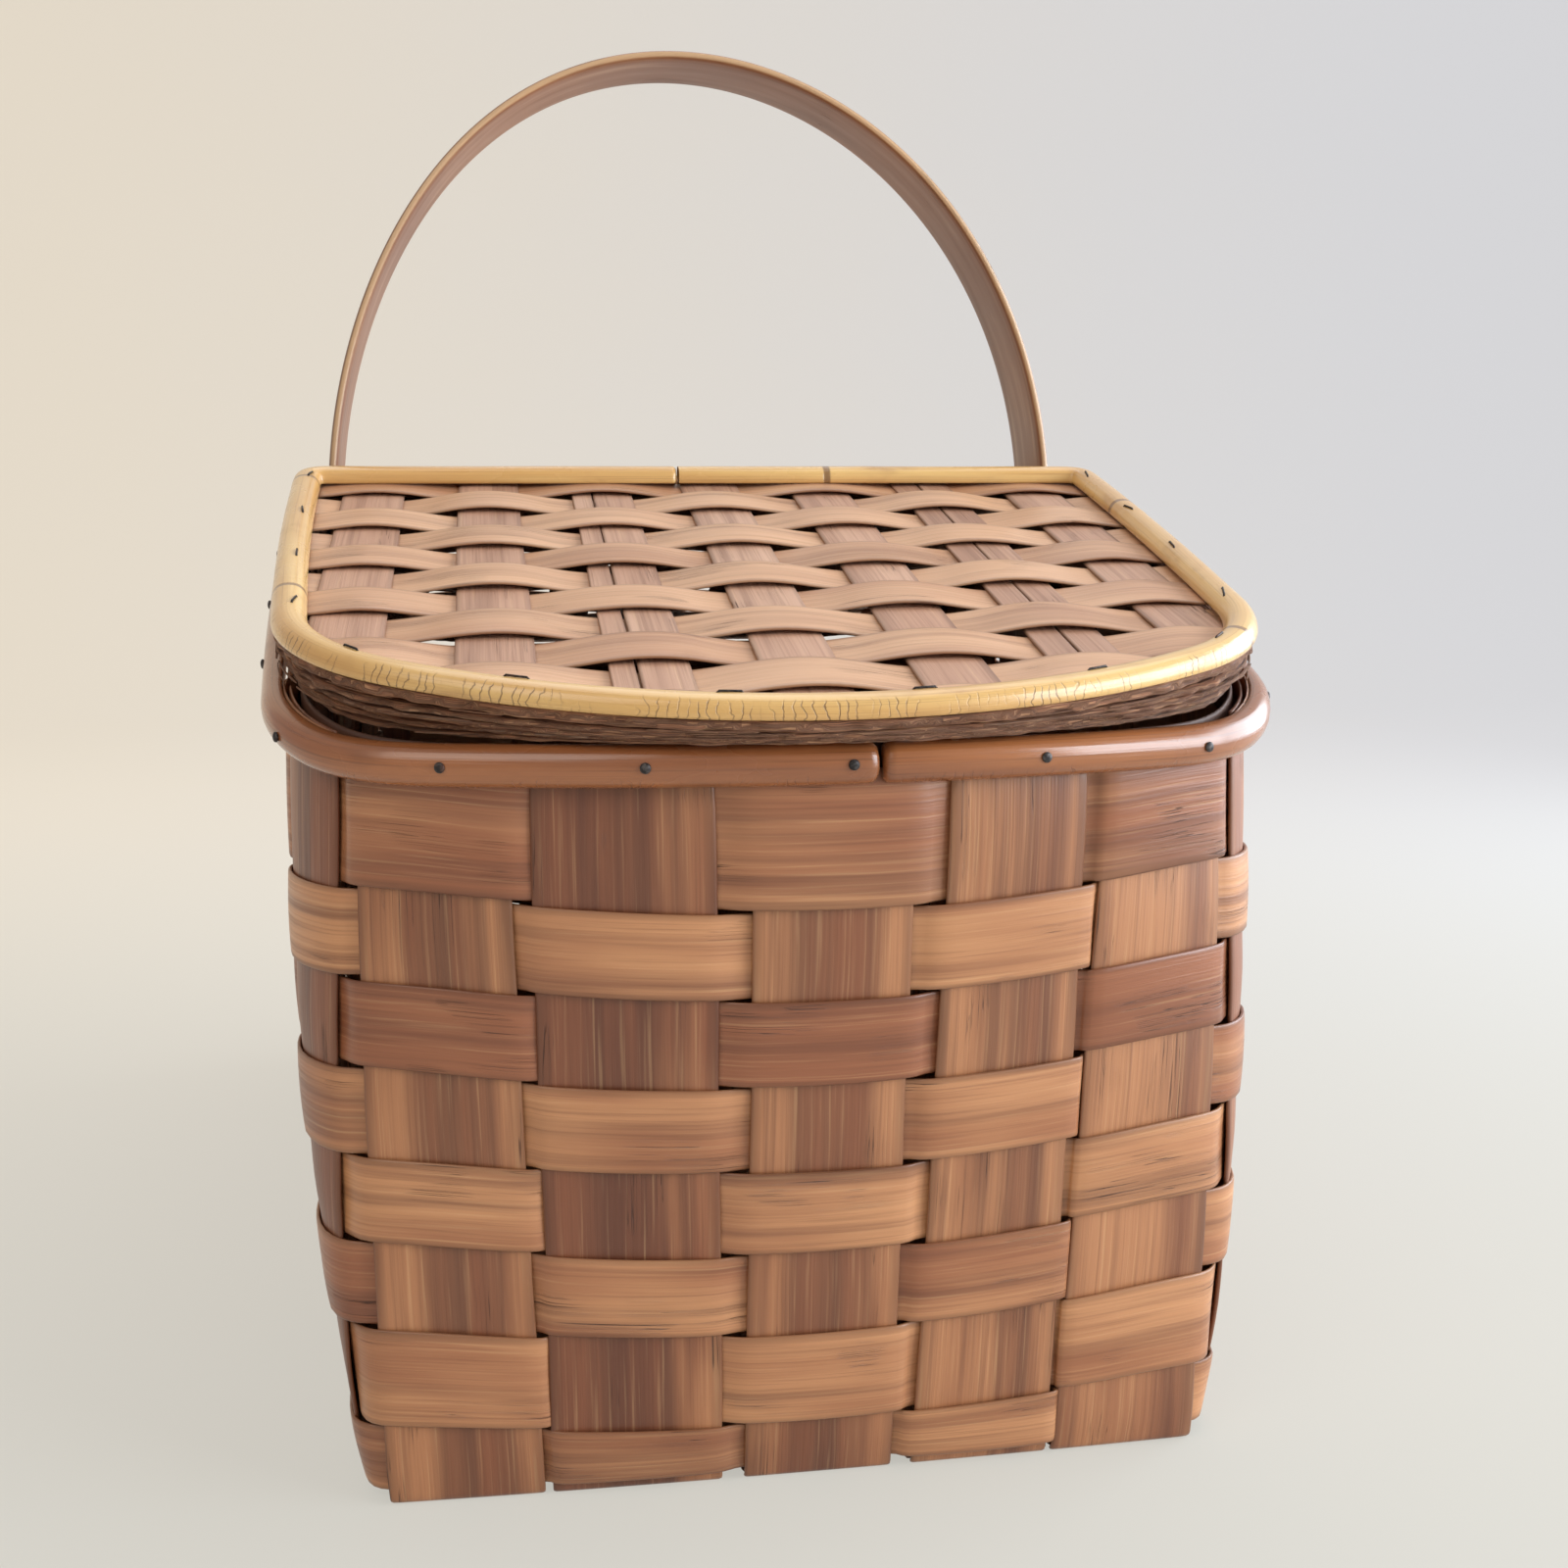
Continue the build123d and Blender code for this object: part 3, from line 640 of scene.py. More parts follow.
# %% Weave in the stakes, wall by wall
end_floor = stake_thickness / 2
side_floor = 1.5 * stake_thickness + 0.1
walls = {
    "front_stakes": ((30, 31, 0, 1, 2), end_floor),
    "back_stakes": ((14, 15, 16, 17, 18), end_floor),
    "right_stakes": (range(3, 14), side_floor),
    "left_stakes": (range(19, 30), side_floor),
}
for wall, (numbers, floor) in walls.items():
    bm = start_mesh()
    for number in numbers:
        add_stake(bm, number, floor, front_looks.get(number) or new_look())
    finish_piece(bm, wall + "_splints", stake_wood, "basket", [wall], stake_thickness)

# %% [markdown]
# ## The weavers
#
# A weaver goes once round the basket and passes outside one stake and inside the next. On the real
# basket its end is tucked in where it starts, inside a stake where nobody sees it, so each ring is
# one long strip that begins and ends in such a place.

# %% The rings of weaver
row_tones = {1: 0.42, 2: 0.66, 3: 0.24, 4: 0.6, 5: 0.66, 6: 0.46, 7: 0.62, 8: 0.56}
first_cell = 20
knot_shares = (-1.03, -0.62, 0.0, 0.62, 1.03)
bulge_out, bulge_in = 0.5, -0.25
weaver_below_rim = 0.9


def weaver_knots(row, height, cells, tucked):
    """Where a weaver bends at a height: (place round the wall, how far out of its middle)."""
    stakes = stakes_at(round(height, 1))
    whole = 4 * wall_plan(round(height, 1)).quarter
    knots = []
    for cell in cells:
        place, half = stakes[cell % stakes_round]
        place += whole * (cell // stakes_round)
        layer = weaver_offset if (cell + row) % 2 else -weaver_offset
        if tucked and cell == cells[-1]:
            layer -= 1.1 * weaver_thickness
        bulge = bulge_out if layer > 0 else bulge_in
        for share in knot_shares:
            knots.append((place + share * half, layer + bulge * (1 - share * share) * 0.9))
        if cell != cells[-1]:
            following, next_half = stakes[(cell + 1) % stakes_round]
            following += whole * ((cell + 1) // stakes_round)
            knots.append(((place + half + following - next_half) / 2, 0.0))
    return knots


def add_weaver(bm, row, bottom, top, cells, look, tucked, under_rim=False):
    half = (top - bottom) / 2
    middle = (top + bottom) / 2
    knots = {lane: weaver_knots(row, middle + lane * half, cells, tucked) for lane in lanes}

    def carry(step, lane):
        place, out = knots[lane][step]
        height = middle + lane * half
        height += 0.5 * wander(look.seed + 2 * lane, place, 47.0) + 0.35 * wander(look.seed, place, 160.0)
        out += 0.3 * (1 - lane * lane) * (1 if out > 0 else -1)
        point = wall_point(place, height, out)
        if under_rim:
            point.z = min(point.z, rim_top(point.y) - weaver_below_rim)
        point.z += sag(point)
        return point, place

    add_splint(bm, len(knots[0.0]), carry, half, look)


for row in range(1, 9):
    bm = start_mesh()
    bottom, top = (row_bottoms + (wall_top_at_ends,))[8 - row : 10 - row]
    start = first_cell + row % 2
    look = Look(40.0 + 3.3 * row, row_tones[row], chance.uniform(-6, 6), chance.uniform(-9, 5))
    cells = list(range(start, start + stakes_round + 1))
    add_weaver(bm, row, bottom + row_gap / 2, top - row_gap / 2, cells, look, tucked=True)
    name = f"weaver_row_{row}"
    finish_piece(bm, name + "_splint", weaver_wood, "basket", [name], weaver_thickness)

# %% [markdown]
# The sides rise to a ridge under the handle. Three short weavers fill each of them above the top
# ring, and each is cut off where it runs out under the sloping rim.


# %% The short weavers of the sides
def reach_under_rim(height):
    """How far from the ridge the rim's underside has come down to a height."""
    y = 0.0
    while rim_top(y) - 1.0 > height and y < rim_level_to:
        y += 1.0
    return y


for level in range(3):
    low = wall_top_at_ends + level * row_pitch + row_gap / 2
    high = min(low + row_pitch - row_gap, ridge_height - 1.2)
    side_places = stakes_at(ridge_height)
    for name, middle_cell in (("right", 8), ("left", 24)):
        reach = reach_under_rim(low + 2.0)
        cells = []
        for cell in range(middle_cell - 5, middle_cell + 6):
            point = wall_point(side_places[cell][0], ridge_height)
            if abs(point.y) < reach + side_stake_width / 2:
                cells.append(cell)
        bm = start_mesh()
        add_weaver(bm, level, low, high, cells, new_look(), tucked=False, under_rim=True)
        node = f"upper_weaver_{level + 1}_{name}"
        finish_piece(bm, node + "_splint", weaver_wood, "basket", [node], weaver_thickness)

# %% [markdown]
# ## The base
#
# The base is the same weave laid flat. The long strips run on into the end stakes and the cross
# strips into the side stakes, each over one and under the next.


# %% The woven base
base_heights = (stake_thickness / 2 + 0.02, 1.5 * stake_thickness + 0.1)
base_stakes = stakes_at(stake_thickness)
long_xs = [wall_point(base_stakes[n][0], stake_thickness).x for n in (30, 31, 0, 1, 2)]
cross_ys = [wall_point(base_stakes[n][0], stake_thickness).y for n in range(3, 14)]
knot_reach = 15


def add_base_strip(bm, centre, half, crossings, reach, lengthways, number, look):
    """Adds one strip of the base. It changes height between the strips that it crosses."""
    knots = [-reach]
    for crossing in crossings:
        knots += [crossing - knot_reach, crossing, crossing + knot_reach]
    knots.append(reach)

    def carry(step, lane):
        length = knots[step]
        crossing = min(max((step - 1) // 3, 0), len(crossings) - 1)
        ends = step in (0, len(knots) - 1)
        upper = (crossing + number) % 2 == 1 and lengthways and not ends
        upper = upper or (not lengthways and ((crossing + number) % 2 == 0 or ends))
        height = base_heights[1] if upper else base_heights[0]
        side = centre + lane * half + 0.4 * wander(look.seed, length, 60.0)
        return Vector((side, length, height) if lengthways else (length, side, height)), length

    add_splint(bm, len(knots), carry, half, look)


for kind, centres, crossings, width, half_length in (
    ("long", long_xs, cross_ys, end_stake_width, base_half_length),
    ("cross", cross_ys, long_xs, side_stake_width, base_half_width),
):
    bm = start_mesh()
    for number, centre in enumerate(centres):
        reach = half_length - fold_r
        add_base_strip(bm, centre, width / 2, crossings, reach, kind == "long", number, new_look())
    nodes = [f"base_{kind}_strips"]
    finish_piece(bm, f"base_{kind}_splints", stake_wood, "basket", nodes, stake_thickness)

# %% [markdown]
# ## Bars that follow a path
#
# The rim, the lids' frames, the handle and the wires are each one section swept along a path. A grid
# rolled round the path makes the skin, its seam is merged, and its open ends are closed. The section
# may change along the way, which gives the cane its swollen rings and the bark its ragged edge.

# %% A helper for bars
Station = namedtuple("Station", "point out up")


def add_bar(bm, stations, section, sides, look, closed=False):
    """Sweeps a section along stations. section(step, turn) gives lengths out and up; a turn is 0 to 1."""
    steps = len(stations) - 1 + closed
    grid = bmesh.ops.create_grid(bm, x_segments=steps, y_segments=sides, size=0.5)
    lengths = [0.0]
    for first, second in zip(stations, stations[1:] + stations[:1]):
        lengths.append(lengths[-1] + (second.point - first.point).length)
    for vertex in grid["verts"]:
        step = round((vertex.co.x + 0.5) * steps)
        turn = round((vertex.co.y + 0.5) * sides) / sides
        station = stations[step % len(stations)]
        out, up = section(step % len(stations), turn % 1.0)
        point = station.point + station.out * out + station.up * up
        mark(bm, vertex, point, lengths[step], turn * 22.0, abs(2 * turn - 1), look)
    bmesh.ops.remove_doubles(bm, verts=grid["verts"], dist=0.00001 * MM)
    rims = [edge for edge in bm.edges if edge.is_boundary]
    if rims:
        bmesh.ops.holes_fill(bm, edges=rims, sides=sides + 2)
    bmesh.ops.recalc_face_normals(bm, faces=bm.faces)


def half_round(width, height):
    """A half-round section: its flat side lies on the path, and its seam is in the middle of that side."""

    def section(step, turn):
        angle = 2 * math.pi * turn - math.pi / 2
        across = math.cos(angle)
        rise = max(math.sin(angle), 0.0) ** 0.85
        side = math.copysign(abs(across) ** 0.8, across)
        if turn in (0.0, 1.0):
            side = 0.0
        return side * width / 2, rise * height

    return section


def strap(width, thickness):
    """A flat section with rounded edges: out is through its thickness and up is across its width."""

    def section(step, turn):
        angle = 2 * math.pi * turn
        across, through = math.cos(angle), math.sin(angle)
        up = math.copysign(abs(across) ** 0.35, across) * width / 2
        out = math.copysign(abs(through) ** 0.6, through) * thickness / 2
        return out, up

    return section


def round_section(radius):
    def section(step, turn):
        return radius * math.cos(2 * math.pi * turn), radius * math.sin(2 * math.pi * turn)

    return section


def add_wire(bm, points, across, radius, look):
    """Adds a thin round wire or sliver through some points, with its ends closed."""
    stations = []
    for n, point in enumerate(points):
        before, after = points[max(n - 1, 0)], points[min(n + 1, len(points) - 1)]
        along = (after - before).normalized()
        stations.append(Station(point, along.cross(across).normalized(), across))
    add_bar(bm, stations, round_section(radius), 8, look)


print("bars can be swept")

# %% [markdown]
# ## The rim
#
# One length of brown half-round cane runs round the outside of the wall, held by small nails, and its
# two ends meet in a rough joint on the front. A flat dark band does the same job inside the wall.

# %% The rim cane, its joint and the inner band
rim_cane_inner, rim_cane_thickness, rim_cane_height = 1.87, 5.6, 10.5
rim_joint_x, rim_joint_gap, rim_joint_ragged = 12.5, 0.45, 1.5
band_out, band_drop, band_width, band_thickness, band_step = -3.1, 6.8, 12.0, 1.5, 4.0
rim_step = 3.0
rim_look = plain_look(61.0)
rim_plan = wall_plan(ridge_height)
rim_round = 4 * rim_plan.quarter


def rim_stations(out, drop, start, end, step_length):
    """Stations round the wall just under the rim's top, at a length out from the wall."""
    count = int((end - start) / step_length)
    made = []
    for n in range(count + 1):
        place = between(start, end, n / count)
        point = wall_point(place, ridge_height, out)
        point.z = rim_top(point.y) - drop
        away = Vector((*rim_plan.at(place)[1], 0.0))
        made.append(Station(point, away, Vector((0, 0, 1))))
    return made


half_rim = half_round(rim_cane_height, rim_cane_thickness)
rim_ring_places = (585.0, 1010.0)


def rim_section(step, turn):
    """The rim's section stands on its flat side, so its width is upright and its height points outwards."""
    place = step * rim_step
    swell = 1.0 + 0.02 * wander(4.0, place, 60.0)
    for ring in rim_ring_places:
        swell += 0.035 * math.exp(-(((place - ring) / 2.5) ** 2))
    width, height = half_rim(step, turn)
    return height * min(swell, 1.0), -width * min(swell, 1.0)


bm = start_mesh()
joint = rim_joint_x + rim_joint_gap / 2
rim_end = joint + rim_round - rim_joint_gap
stations = rim_stations(rim_cane_inner, rim_cane_height / 2, joint, rim_end, rim_step)
add_bar(bm, stations, rim_section, 12, rim_look)
grain = bm.verts.layers.float_vector["grain"]
farthest = max(vertex[grain].x for vertex in bm.verts)
for vertex in bm.verts:
    if min(vertex[grain].x, farthest - vertex[grain].x) < 0.01:
        vertex.co.x += rim_joint_ragged * MM * noise.noise(Vector((vertex[grain].y * 0.3, 2.7, 0.0)))
rim_cane = cane_skin(
    "Cane_rim", paint(164, 102, 60), paint(134, 79, 47), paint(88, 51, 31), rim_ring_places, 2.2, 0.3, 0.26
)
finish_piece(bm, "rim_cane_half_round", rim_cane, "basket", ["rim_cane"])

bm = start_mesh()
band = rim_stations(band_out, band_drop, 0.0, rim_round, band_step)[:-1]
add_bar(bm, band, strap(band_width, band_thickness), 12, new_look(0.2), closed=True)
band_wood = splint_wood("Wood_band", paint(122, 78, 50), paint(96, 58, 38), paint(66, 38, 26), 0.6)
finish_piece(bm, "rim_band_strap", band_wood, "basket", ["rim_band"])

# %% [markdown]
# ## Nails
#
# The nails are small and dark, with low domed heads. Each head is a flattened sphere, turned to face
# along its nail, and only the head shows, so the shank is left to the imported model's space.

# %% Nail heads
nail_pitch, nail_phase, nail_head_r, nail_head_height = 45.6, 5.9, 1.3, 0.6
handle_half_span = 127.0
handle_thickness, handle_width = 3.6, 36.0
bridge_gap, bridge_thickness, bridge_half_width, notch_gap = 0.1, 4.5, 23.0, 0.3
bridge_top = ridge_height + bridge_gap + bridge_thickness
handle_nail_heights = (205.0, 246.0)
hinge_y, hinge_height, hinge_rod_r = 28.0, ridge_height + 3.1, 3.0


def add_nail(bm, point, facing):
    """Adds a domed head on a surface at a point, facing away from it."""
    turned = facing.to_track_quat("Z", "Y").to_matrix().to_4x4()
    seat = Matrix.Translation(point * MM) @ turned
    shape = Matrix.Diagonal((nail_head_r * MM, nail_head_r * MM, nail_head_height * MM, 1.0))
    bmesh.ops.create_uvsphere(bm, u_segments=16, v_segments=8, radius=1.0, matrix=seat @ shape)


bm = start_mesh()
nail_count = int(2 * rim_plan.quarter // nail_pitch) // 2 * 2
for first, step in ((nail_phase, 1), (nail_phase - nail_pitch, -1)):
    for n in range(nail_count):
        place = first + step * n * nail_pitch
        half_way = abs(place) > 2 * rim_plan.quarter - nail_pitch / 2
        point = wall_point(place, ridge_height, rim_cane_inner + rim_cane_thickness)
        if half_way or abs(point.y) < hinge_y + 2 * nail_head_r:
            continue
        point.z = rim_top(point.y) - rim_cane_height / 2
        add_nail(bm, point, Vector((*rim_plan.at(place)[1], 0.0)))
finish_piece(bm, "rim_nail_heads", iron, "basket", ["rim_nails"], soften=0)

bm = start_mesh()
for side in (-1, 1):
    for height in handle_nail_heights:
        inner = side * (handle_half_span - handle_thickness)
        add_nail(bm, Vector((inner, 0.0, height)), Vector((-side, 0, 0)))
finish_piece(bm, "handle_nail_heads", iron, "basket", ["handle_nails"], soften=0)

bm = start_mesh()
tongue_middle = (bridge_half_width + handle_width / 2 + notch_gap) / 2
for x in (-rim_half_width, rim_half_width):
    for y, top in ((tongue_middle, bridge_top), (hinge_y, hinge_height + hinge_rod_r)):
        for side in (-1, 1):
            add_nail(bm, Vector((x, side * y, top)), Vector((0, 0, 1)))
finish_piece(bm, "bridge_nail_heads", iron, "basket", ["bridge_nails"], soften=0)

# %% [markdown]
# ## The handle
#
# The handle is one strap of wood steamed and bent into a hoop. Its legs stand inside the wall, and
# hand-bent wood is never quite even: the top of this hoop leans a few millimetres to the left.

# %% The bent hoop
handle_top, handle_bend_from, handle_foot = 404.5, ridge_height - 6.2, 172.0
handle_lean = 6.0


def hoop_station(turn):
    """The hoop's middle at a turn from 0 at the right to half a turn at the left."""
    span = handle_half_span - handle_thickness / 2
    rise = handle_top - handle_bend_from - handle_thickness / 2
    point = Vector((span * math.cos(turn), 0.0, handle_bend_from + rise * math.sin(turn)))
    along = Vector((-span * math.sin(turn), 0.0, rise * math.cos(turn))).normalized()
    point.x -= handle_lean * math.sin(turn) ** 3 * (1 - 0.3 * math.cos(turn))
    return Station(point, Vector((along.z, 0.0, -along.x)), Vector((0, 1, 0)))


leg = handle_half_span - handle_thickness / 2
legs = [handle_foot + n * (handle_bend_from - handle_foot) / 12 for n in range(12)]
stations = [Station(Vector((leg, 0, z)), Vector((1, 0, 0)), Vector((0, 1, 0))) for z in legs]
stations += [hoop_station(math.pi * n / 96) for n in range(97)]
stations += [Station(Vector((-leg, 0, z)), Vector((-1, 0, 0)), Vector((0, 1, 0))) for z in reversed(legs)]
bm = start_mesh()
add_bar(bm, stations, strap(handle_width, handle_thickness), 20, plain_look(71.0, 0.45))
finish_piece(bm, "handle_hoop", handle_wood, "basket", ["handle"])

# %% [markdown]
# ## The lids
#
# Both lids are the same: a D of yellow half-round cane on top, split canes with their bark on below,
# and a woven panel held between them. Each is made flat, by its distance across, its distance from the
# hinge and its height over the hinge's plane, and tilted into place. The back lid is the front one
# turned half round, with splints of its own and a tighter weave.

# %% Sizes of a lid
lid_half_width, lid_front, lid_back = 136.0, 248.0, 5.2
lid_corner_r, lid_end_bow_r, lid_side_bow_r = 65.0, 180.0, 2500.0
lid_cane_width, lid_cane_height, lid_cane_bottom = 9.5, 5.2, 3.8
panel_middle = 2.35
lid_stake_pitch, lid_stake_width = 36.5, 19.5
lid_rows = 11
lid_seat_gap, lid_band_bottom, lid_band_inset = 0.35, -1.6, 1.5

# The lid leans just enough for the bark under its front edge to rest on the rim
edge_reach = lid_front - lid_band_inset
edge_drop = hinge_height - rim_end_height - lid_seat_gap
edge_rise = math.atan2(-lid_band_bottom, edge_reach)
lid_slope = math.asin(edge_drop / math.hypot(edge_reach, lid_band_bottom)) - edge_rise
lid_centre = -hinge_y / math.cos(lid_slope)
lid_plan = Plan(lid_half_width, lid_front - lid_centre, lid_corner_r, lid_end_bow_r, lid_side_bow_r)
print("slope of the lids:", round(math.degrees(lid_slope), 2), "degrees")


def lid_point(side, across, away, up):
    """A point of a lid: side is -1 for the front lid and 1 for the back one."""
    y = hinge_y + away * math.cos(lid_slope) + up * math.sin(lid_slope)
    z = hinge_height - away * math.sin(lid_slope) + up * math.cos(lid_slope)
    return Vector((-side * across, side * y, z))


def lid_way(side, across, away, up):
    """A direction of a lid, in the basket's own axes."""
    return lid_point(side, across, away, up) - lid_point(side, 0, 0, 0)


def lid_edge(place, inset=0.0):
    """A point of the D's rounded edge, as distances across and away from the hinge, and the way out."""
    point, out = lid_plan.at(place)
    return Vector((point.x - out.x * inset, lid_centre - point.y + out.y * inset)), Vector((out.x, -out.y))


def last_point(inset, holds):
    """The last point of the D's right half, from its front, for which a test still holds."""
    low, high = 0.0, lid_plan.quarter
    for _ in range(24):
        middle = (low + high) / 2
        if holds(lid_edge(middle, inset)[0]):
            low = middle
        else:
            high = middle
    return lid_edge(low, inset)[0]


def reach_at(away, inset=0.0):
    """How far across the D reaches at a distance from the hinge."""
    return last_point(inset, lambda point: point.y > away).x


def front_at(across, inset=0.0):
    """How far from the hinge the D reaches at a distance across."""
    return last_point(inset, lambda point: point.x < abs(across)).y


def inside_edge(across, away):
    """Roughly how far a point of the panel is inside the D."""
    return min(reach_at(away) - abs(across), away - lid_back, front_at(across) - away)


print("the D is", round(2 * reach_at(40)), "mm wide near its hinge")

# %% [markdown]
# ## The panels
#
# Seven stakes run from the hinge to the front and eleven thinner strips cross them. The strips are
# stiff, so they don't lie flat: each rises in a long low arch over a stake and dips in another under
# the next, and dark gaps show at the sides of the arches. Some of the stakes have split lengthwise.


# %% The strips and stakes of a panel
def arch(across, row, look):
    """How high a strip runs: over one stake and under the next."""
    over = 1 if row % 2 == 0 else -1
    wave = math.cos(math.pi * across / lid_stake_pitch) * over
    return -wave * (1.0 + 0.22 * wander(look.seed, across, 31.0))


strip_inset, strip_gap = 5.0, 1.4
taper_from, tip_inset, last_knot_inset = 4.0, 1.5, 3.0
# By side. The back lid is woven tighter, so that little light comes through both lids at once
arch_rise = {-1: 2.1, 1: 1.0}
arch_dip = {-1: 1.5, 1: 1.0}


def add_lid_strip(bm, side, row, look):
    """Adds one strip. Where the D curves in, the strip is cut along it and runs out to a narrow tip."""
    pitch = (lid_front - lid_back - 2.0) / lid_rows
    back = lid_back + 1.0 + row * pitch + strip_gap / 2
    front = back + pitch - strip_gap
    tapers = reach_at(back, strip_inset) - reach_at(front, strip_inset) > taper_from
    tip = reach_at(back + tip_inset, strip_inset)
    ends = {}
    for lane in lanes:
        ends[lane] = tip if tapers else reach_at(between(back, front, (lane + 1) / 2), strip_inset)
    least = min(ends.values()) - last_knot_inset
    knots = [n * lid_stake_pitch / 6 for n in range(-24, 25) if abs(n * lid_stake_pitch / 6) < least]

    def carry(step, lane):
        if step in (0, len(knots) + 1):
            across = -ends[lane] if step == 0 else ends[lane]
        else:
            across = knots[step - 1]
        limit = min(front, front_at(across, strip_inset)) if tapers else front
        away = between(back, limit, (lane + 1) / 2) + 0.4 * wander(look.seed + lane, across, 45.0)
        room = eased((inside_edge(across, away) - 9.0) / 14.0)
        height = arch(across, row, look)
        up = panel_middle + height * between(1.0, (arch_rise if height > 0 else arch_dip)[side], room)
        up += 0.35 * (1 - lane * lane) * room * (1 if height > 0 else -1) * (side < 0)
        return lid_point(side, across, away, up), across

    add_splint(bm, len(knots) + 2, carry, (front - back) / 2, look)


def add_lid_stake(bm, side, number, look, from_share=-1.0, to_share=1.0, gap=0.0):
    """Adds one stake of a panel, or the part of a split one between two shares of its half width."""
    centre = number * lid_stake_pitch
    half = lid_stake_width / 2
    away_steps = 36
    reach = {lane: front_at(centre + lane * half, strip_inset) for lane in (-1.0, 1.0)}

    def carry(step, lane):
        share = between(from_share, to_share, (lane + 1) / 2)
        end = between(reach[-1.0], reach[1.0], (share + 1) / 2)
        away = between(lid_back + 1.5, end, step / away_steps)
        across = centre + share * half + 0.35 * wander(look.seed, away, 60.0)
        across += gap * eased(away / end * 1.6 - 0.3)
        up = panel_middle + 0.12 * wander(look.seed + 3, away, 30.0) - 0.25 * share * share
        return lid_point(side, across, away, up), away

    add_splint(bm, away_steps + 1, carry, half * (to_share - from_share) / 2, look)


split_stakes = {-1: -0.35, 2: -0.1}
lids = {"front_lid": -1, "back_lid": 1}
for lid, side in lids.items():
    bm = start_mesh()
    for row in range(lid_rows):
        add_lid_strip(bm, side, row, plain_look(chance.uniform(0, 90), chance.uniform(0.35, 0.8)))
    finish_piece(bm, f"{lid}_strip_weave", lid_strip_wood, lid, [f"{lid}_strips"], 0.8)
    bm = start_mesh()
    for number in range(-3, 4):
        look = new_look(chance.uniform(0.25, 0.65), 0.3)
        if number in split_stakes:
            split = split_stakes[number]
            add_lid_stake(bm, side, number, look, -1.0, split, gap=-0.2)
            add_lid_stake(bm, side, number, look._replace(seed=look.seed + 1.7), split + 0.03, 1.0, gap=0.2)
        else:
            add_lid_stake(bm, side, number, look)
    finish_piece(bm, f"{lid}_stake_weave", lid_stake_wood, lid, [f"{lid}_stakes"], 0.9)

# %% [markdown]
# ## The frames of the lids
#
# The yellow cane is one length bent round the D. It starts and ends in the middle of the hinge side,
# turns the two hinge corners tightly, and has a swollen ring wherever a leaf grew. Under it lie split
# canes with the bark left on, brown and ragged along their edges. The lid stands off the rim at its
# corners, and there the lower layers hang down to fill most of the space.

# %% The cane and the bark
cane_step = 2.0
hinge_corner_r = 7.0
cane_joint = -10.0


def lid_route(inset, step_length):
    """Points and ways out round the D, from the middle of the hinge side to the left, and back to it."""
    hinge_line = lid_back + inset
    corner_place = lid_plan.quarter
    while lid_edge(corner_place)[0].y < hinge_line + hinge_corner_r:
        corner_place -= 0.5
    side_point, side_out = lid_edge(corner_place, inset)
    corner = Vector((side_point.x + 0.3, hinge_line))
    count = int(2 * corner_place / step_length)
    edge = [lid_edge(-corner_place + 2 * corner_place * n / count, inset) for n in range(count + 1)]
    start = Vector((corner.x - hinge_corner_r, hinge_line))
    bend = []
    for n in range(1, 6):
        share = n / 6
        point = start * (1 - share) ** 2 + corner * 2 * share * (1 - share) + side_point * share**2
        out = Vector((0, -1)).lerp(side_out, share).normalized()
        bend.append((point, out))
    left_bend = [(Vector((-point.x, point.y)), Vector((-out.x, out.y))) for point, out in bend]

    def hinge_run(begin, end):
        run = int(abs(end - begin) / step_length)
        return [(Vector((between(begin, end, n / run), hinge_line)), Vector((0, -1))) for n in range(run + 1)]

    left_line = hinge_run(cane_joint - 0.2, -start.x)
    right_line = hinge_run(start.x, cane_joint + 0.2)
    return left_line + left_bend + edge + list(reversed(bend)) + right_line


lid_ring_places = (131.0, 258.0, 560.0, 701.0, 838.0)
half_lid_cane = half_round(lid_cane_width - 0.3, lid_cane_height - 0.15)


def lid_cane_section(step, turn):
    place = step * cane_step
    swell = 0.985 + 0.015 * wander(2.0, place, 40.0)
    for ring in lid_ring_places:
        swell += 0.03 * math.exp(-(((place - ring) / 2.2) ** 2))
    out, up = half_lid_cane(step, turn)
    return out * min(swell, 1.0), up * min(swell, 1.0)


def room_below(side, point):
    """The space between the underside of the lid's edge and the rim, which grows at the corners."""
    under = lid_point(side, point.x, point.y, lid_band_bottom)
    return max(under.z - rim_top(under.y), 0.0)


def lid_stations(side, inset, up, share=0.0):
    """Stations round the D. A layer of bark hangs down by its share of the room over the rim."""
    made = []
    for point, out in lid_route(inset, cane_step):
        room = min(room_below(side, point), most_room)
        sunk = up - fill_of_room * room * share
        hangs_in = point - out * (room * share * bark_lean)
        place = lid_point(side, hangs_in.x, hangs_in.y, sunk)
        made.append(Station(place, lid_way(side, out.x, out.y, 0.0), lid_way(side, 0, 0, 1)))
    return made


def bark_section(thickness, depth, seed):
    """A thin band whose outer edge is ragged."""

    def section(step, turn):
        out, up = strap(depth, thickness)(step, turn)[::-1]
        ragged = noise.noise(Vector((step * 0.9, seed, turn * 3)))
        ragged += 0.6 * noise.noise(Vector((step * 0.31, seed + 4, 0)))
        if out > 0:
            out += 1.3 * ragged - 0.5
        up += 0.22 * noise.noise(Vector((step * 0.7, seed + 9, turn * 4)))
        return out, up

    return section


yellow_cane = cane_skin(
    "Cane_lid", paint(222, 182, 116), paint(204, 156, 92), paint(150, 100, 56), lid_ring_places, 1.5, 0.8, 0.3
)
most_room, fill_of_room, bark_lean = 9.0, 0.84, 0.35
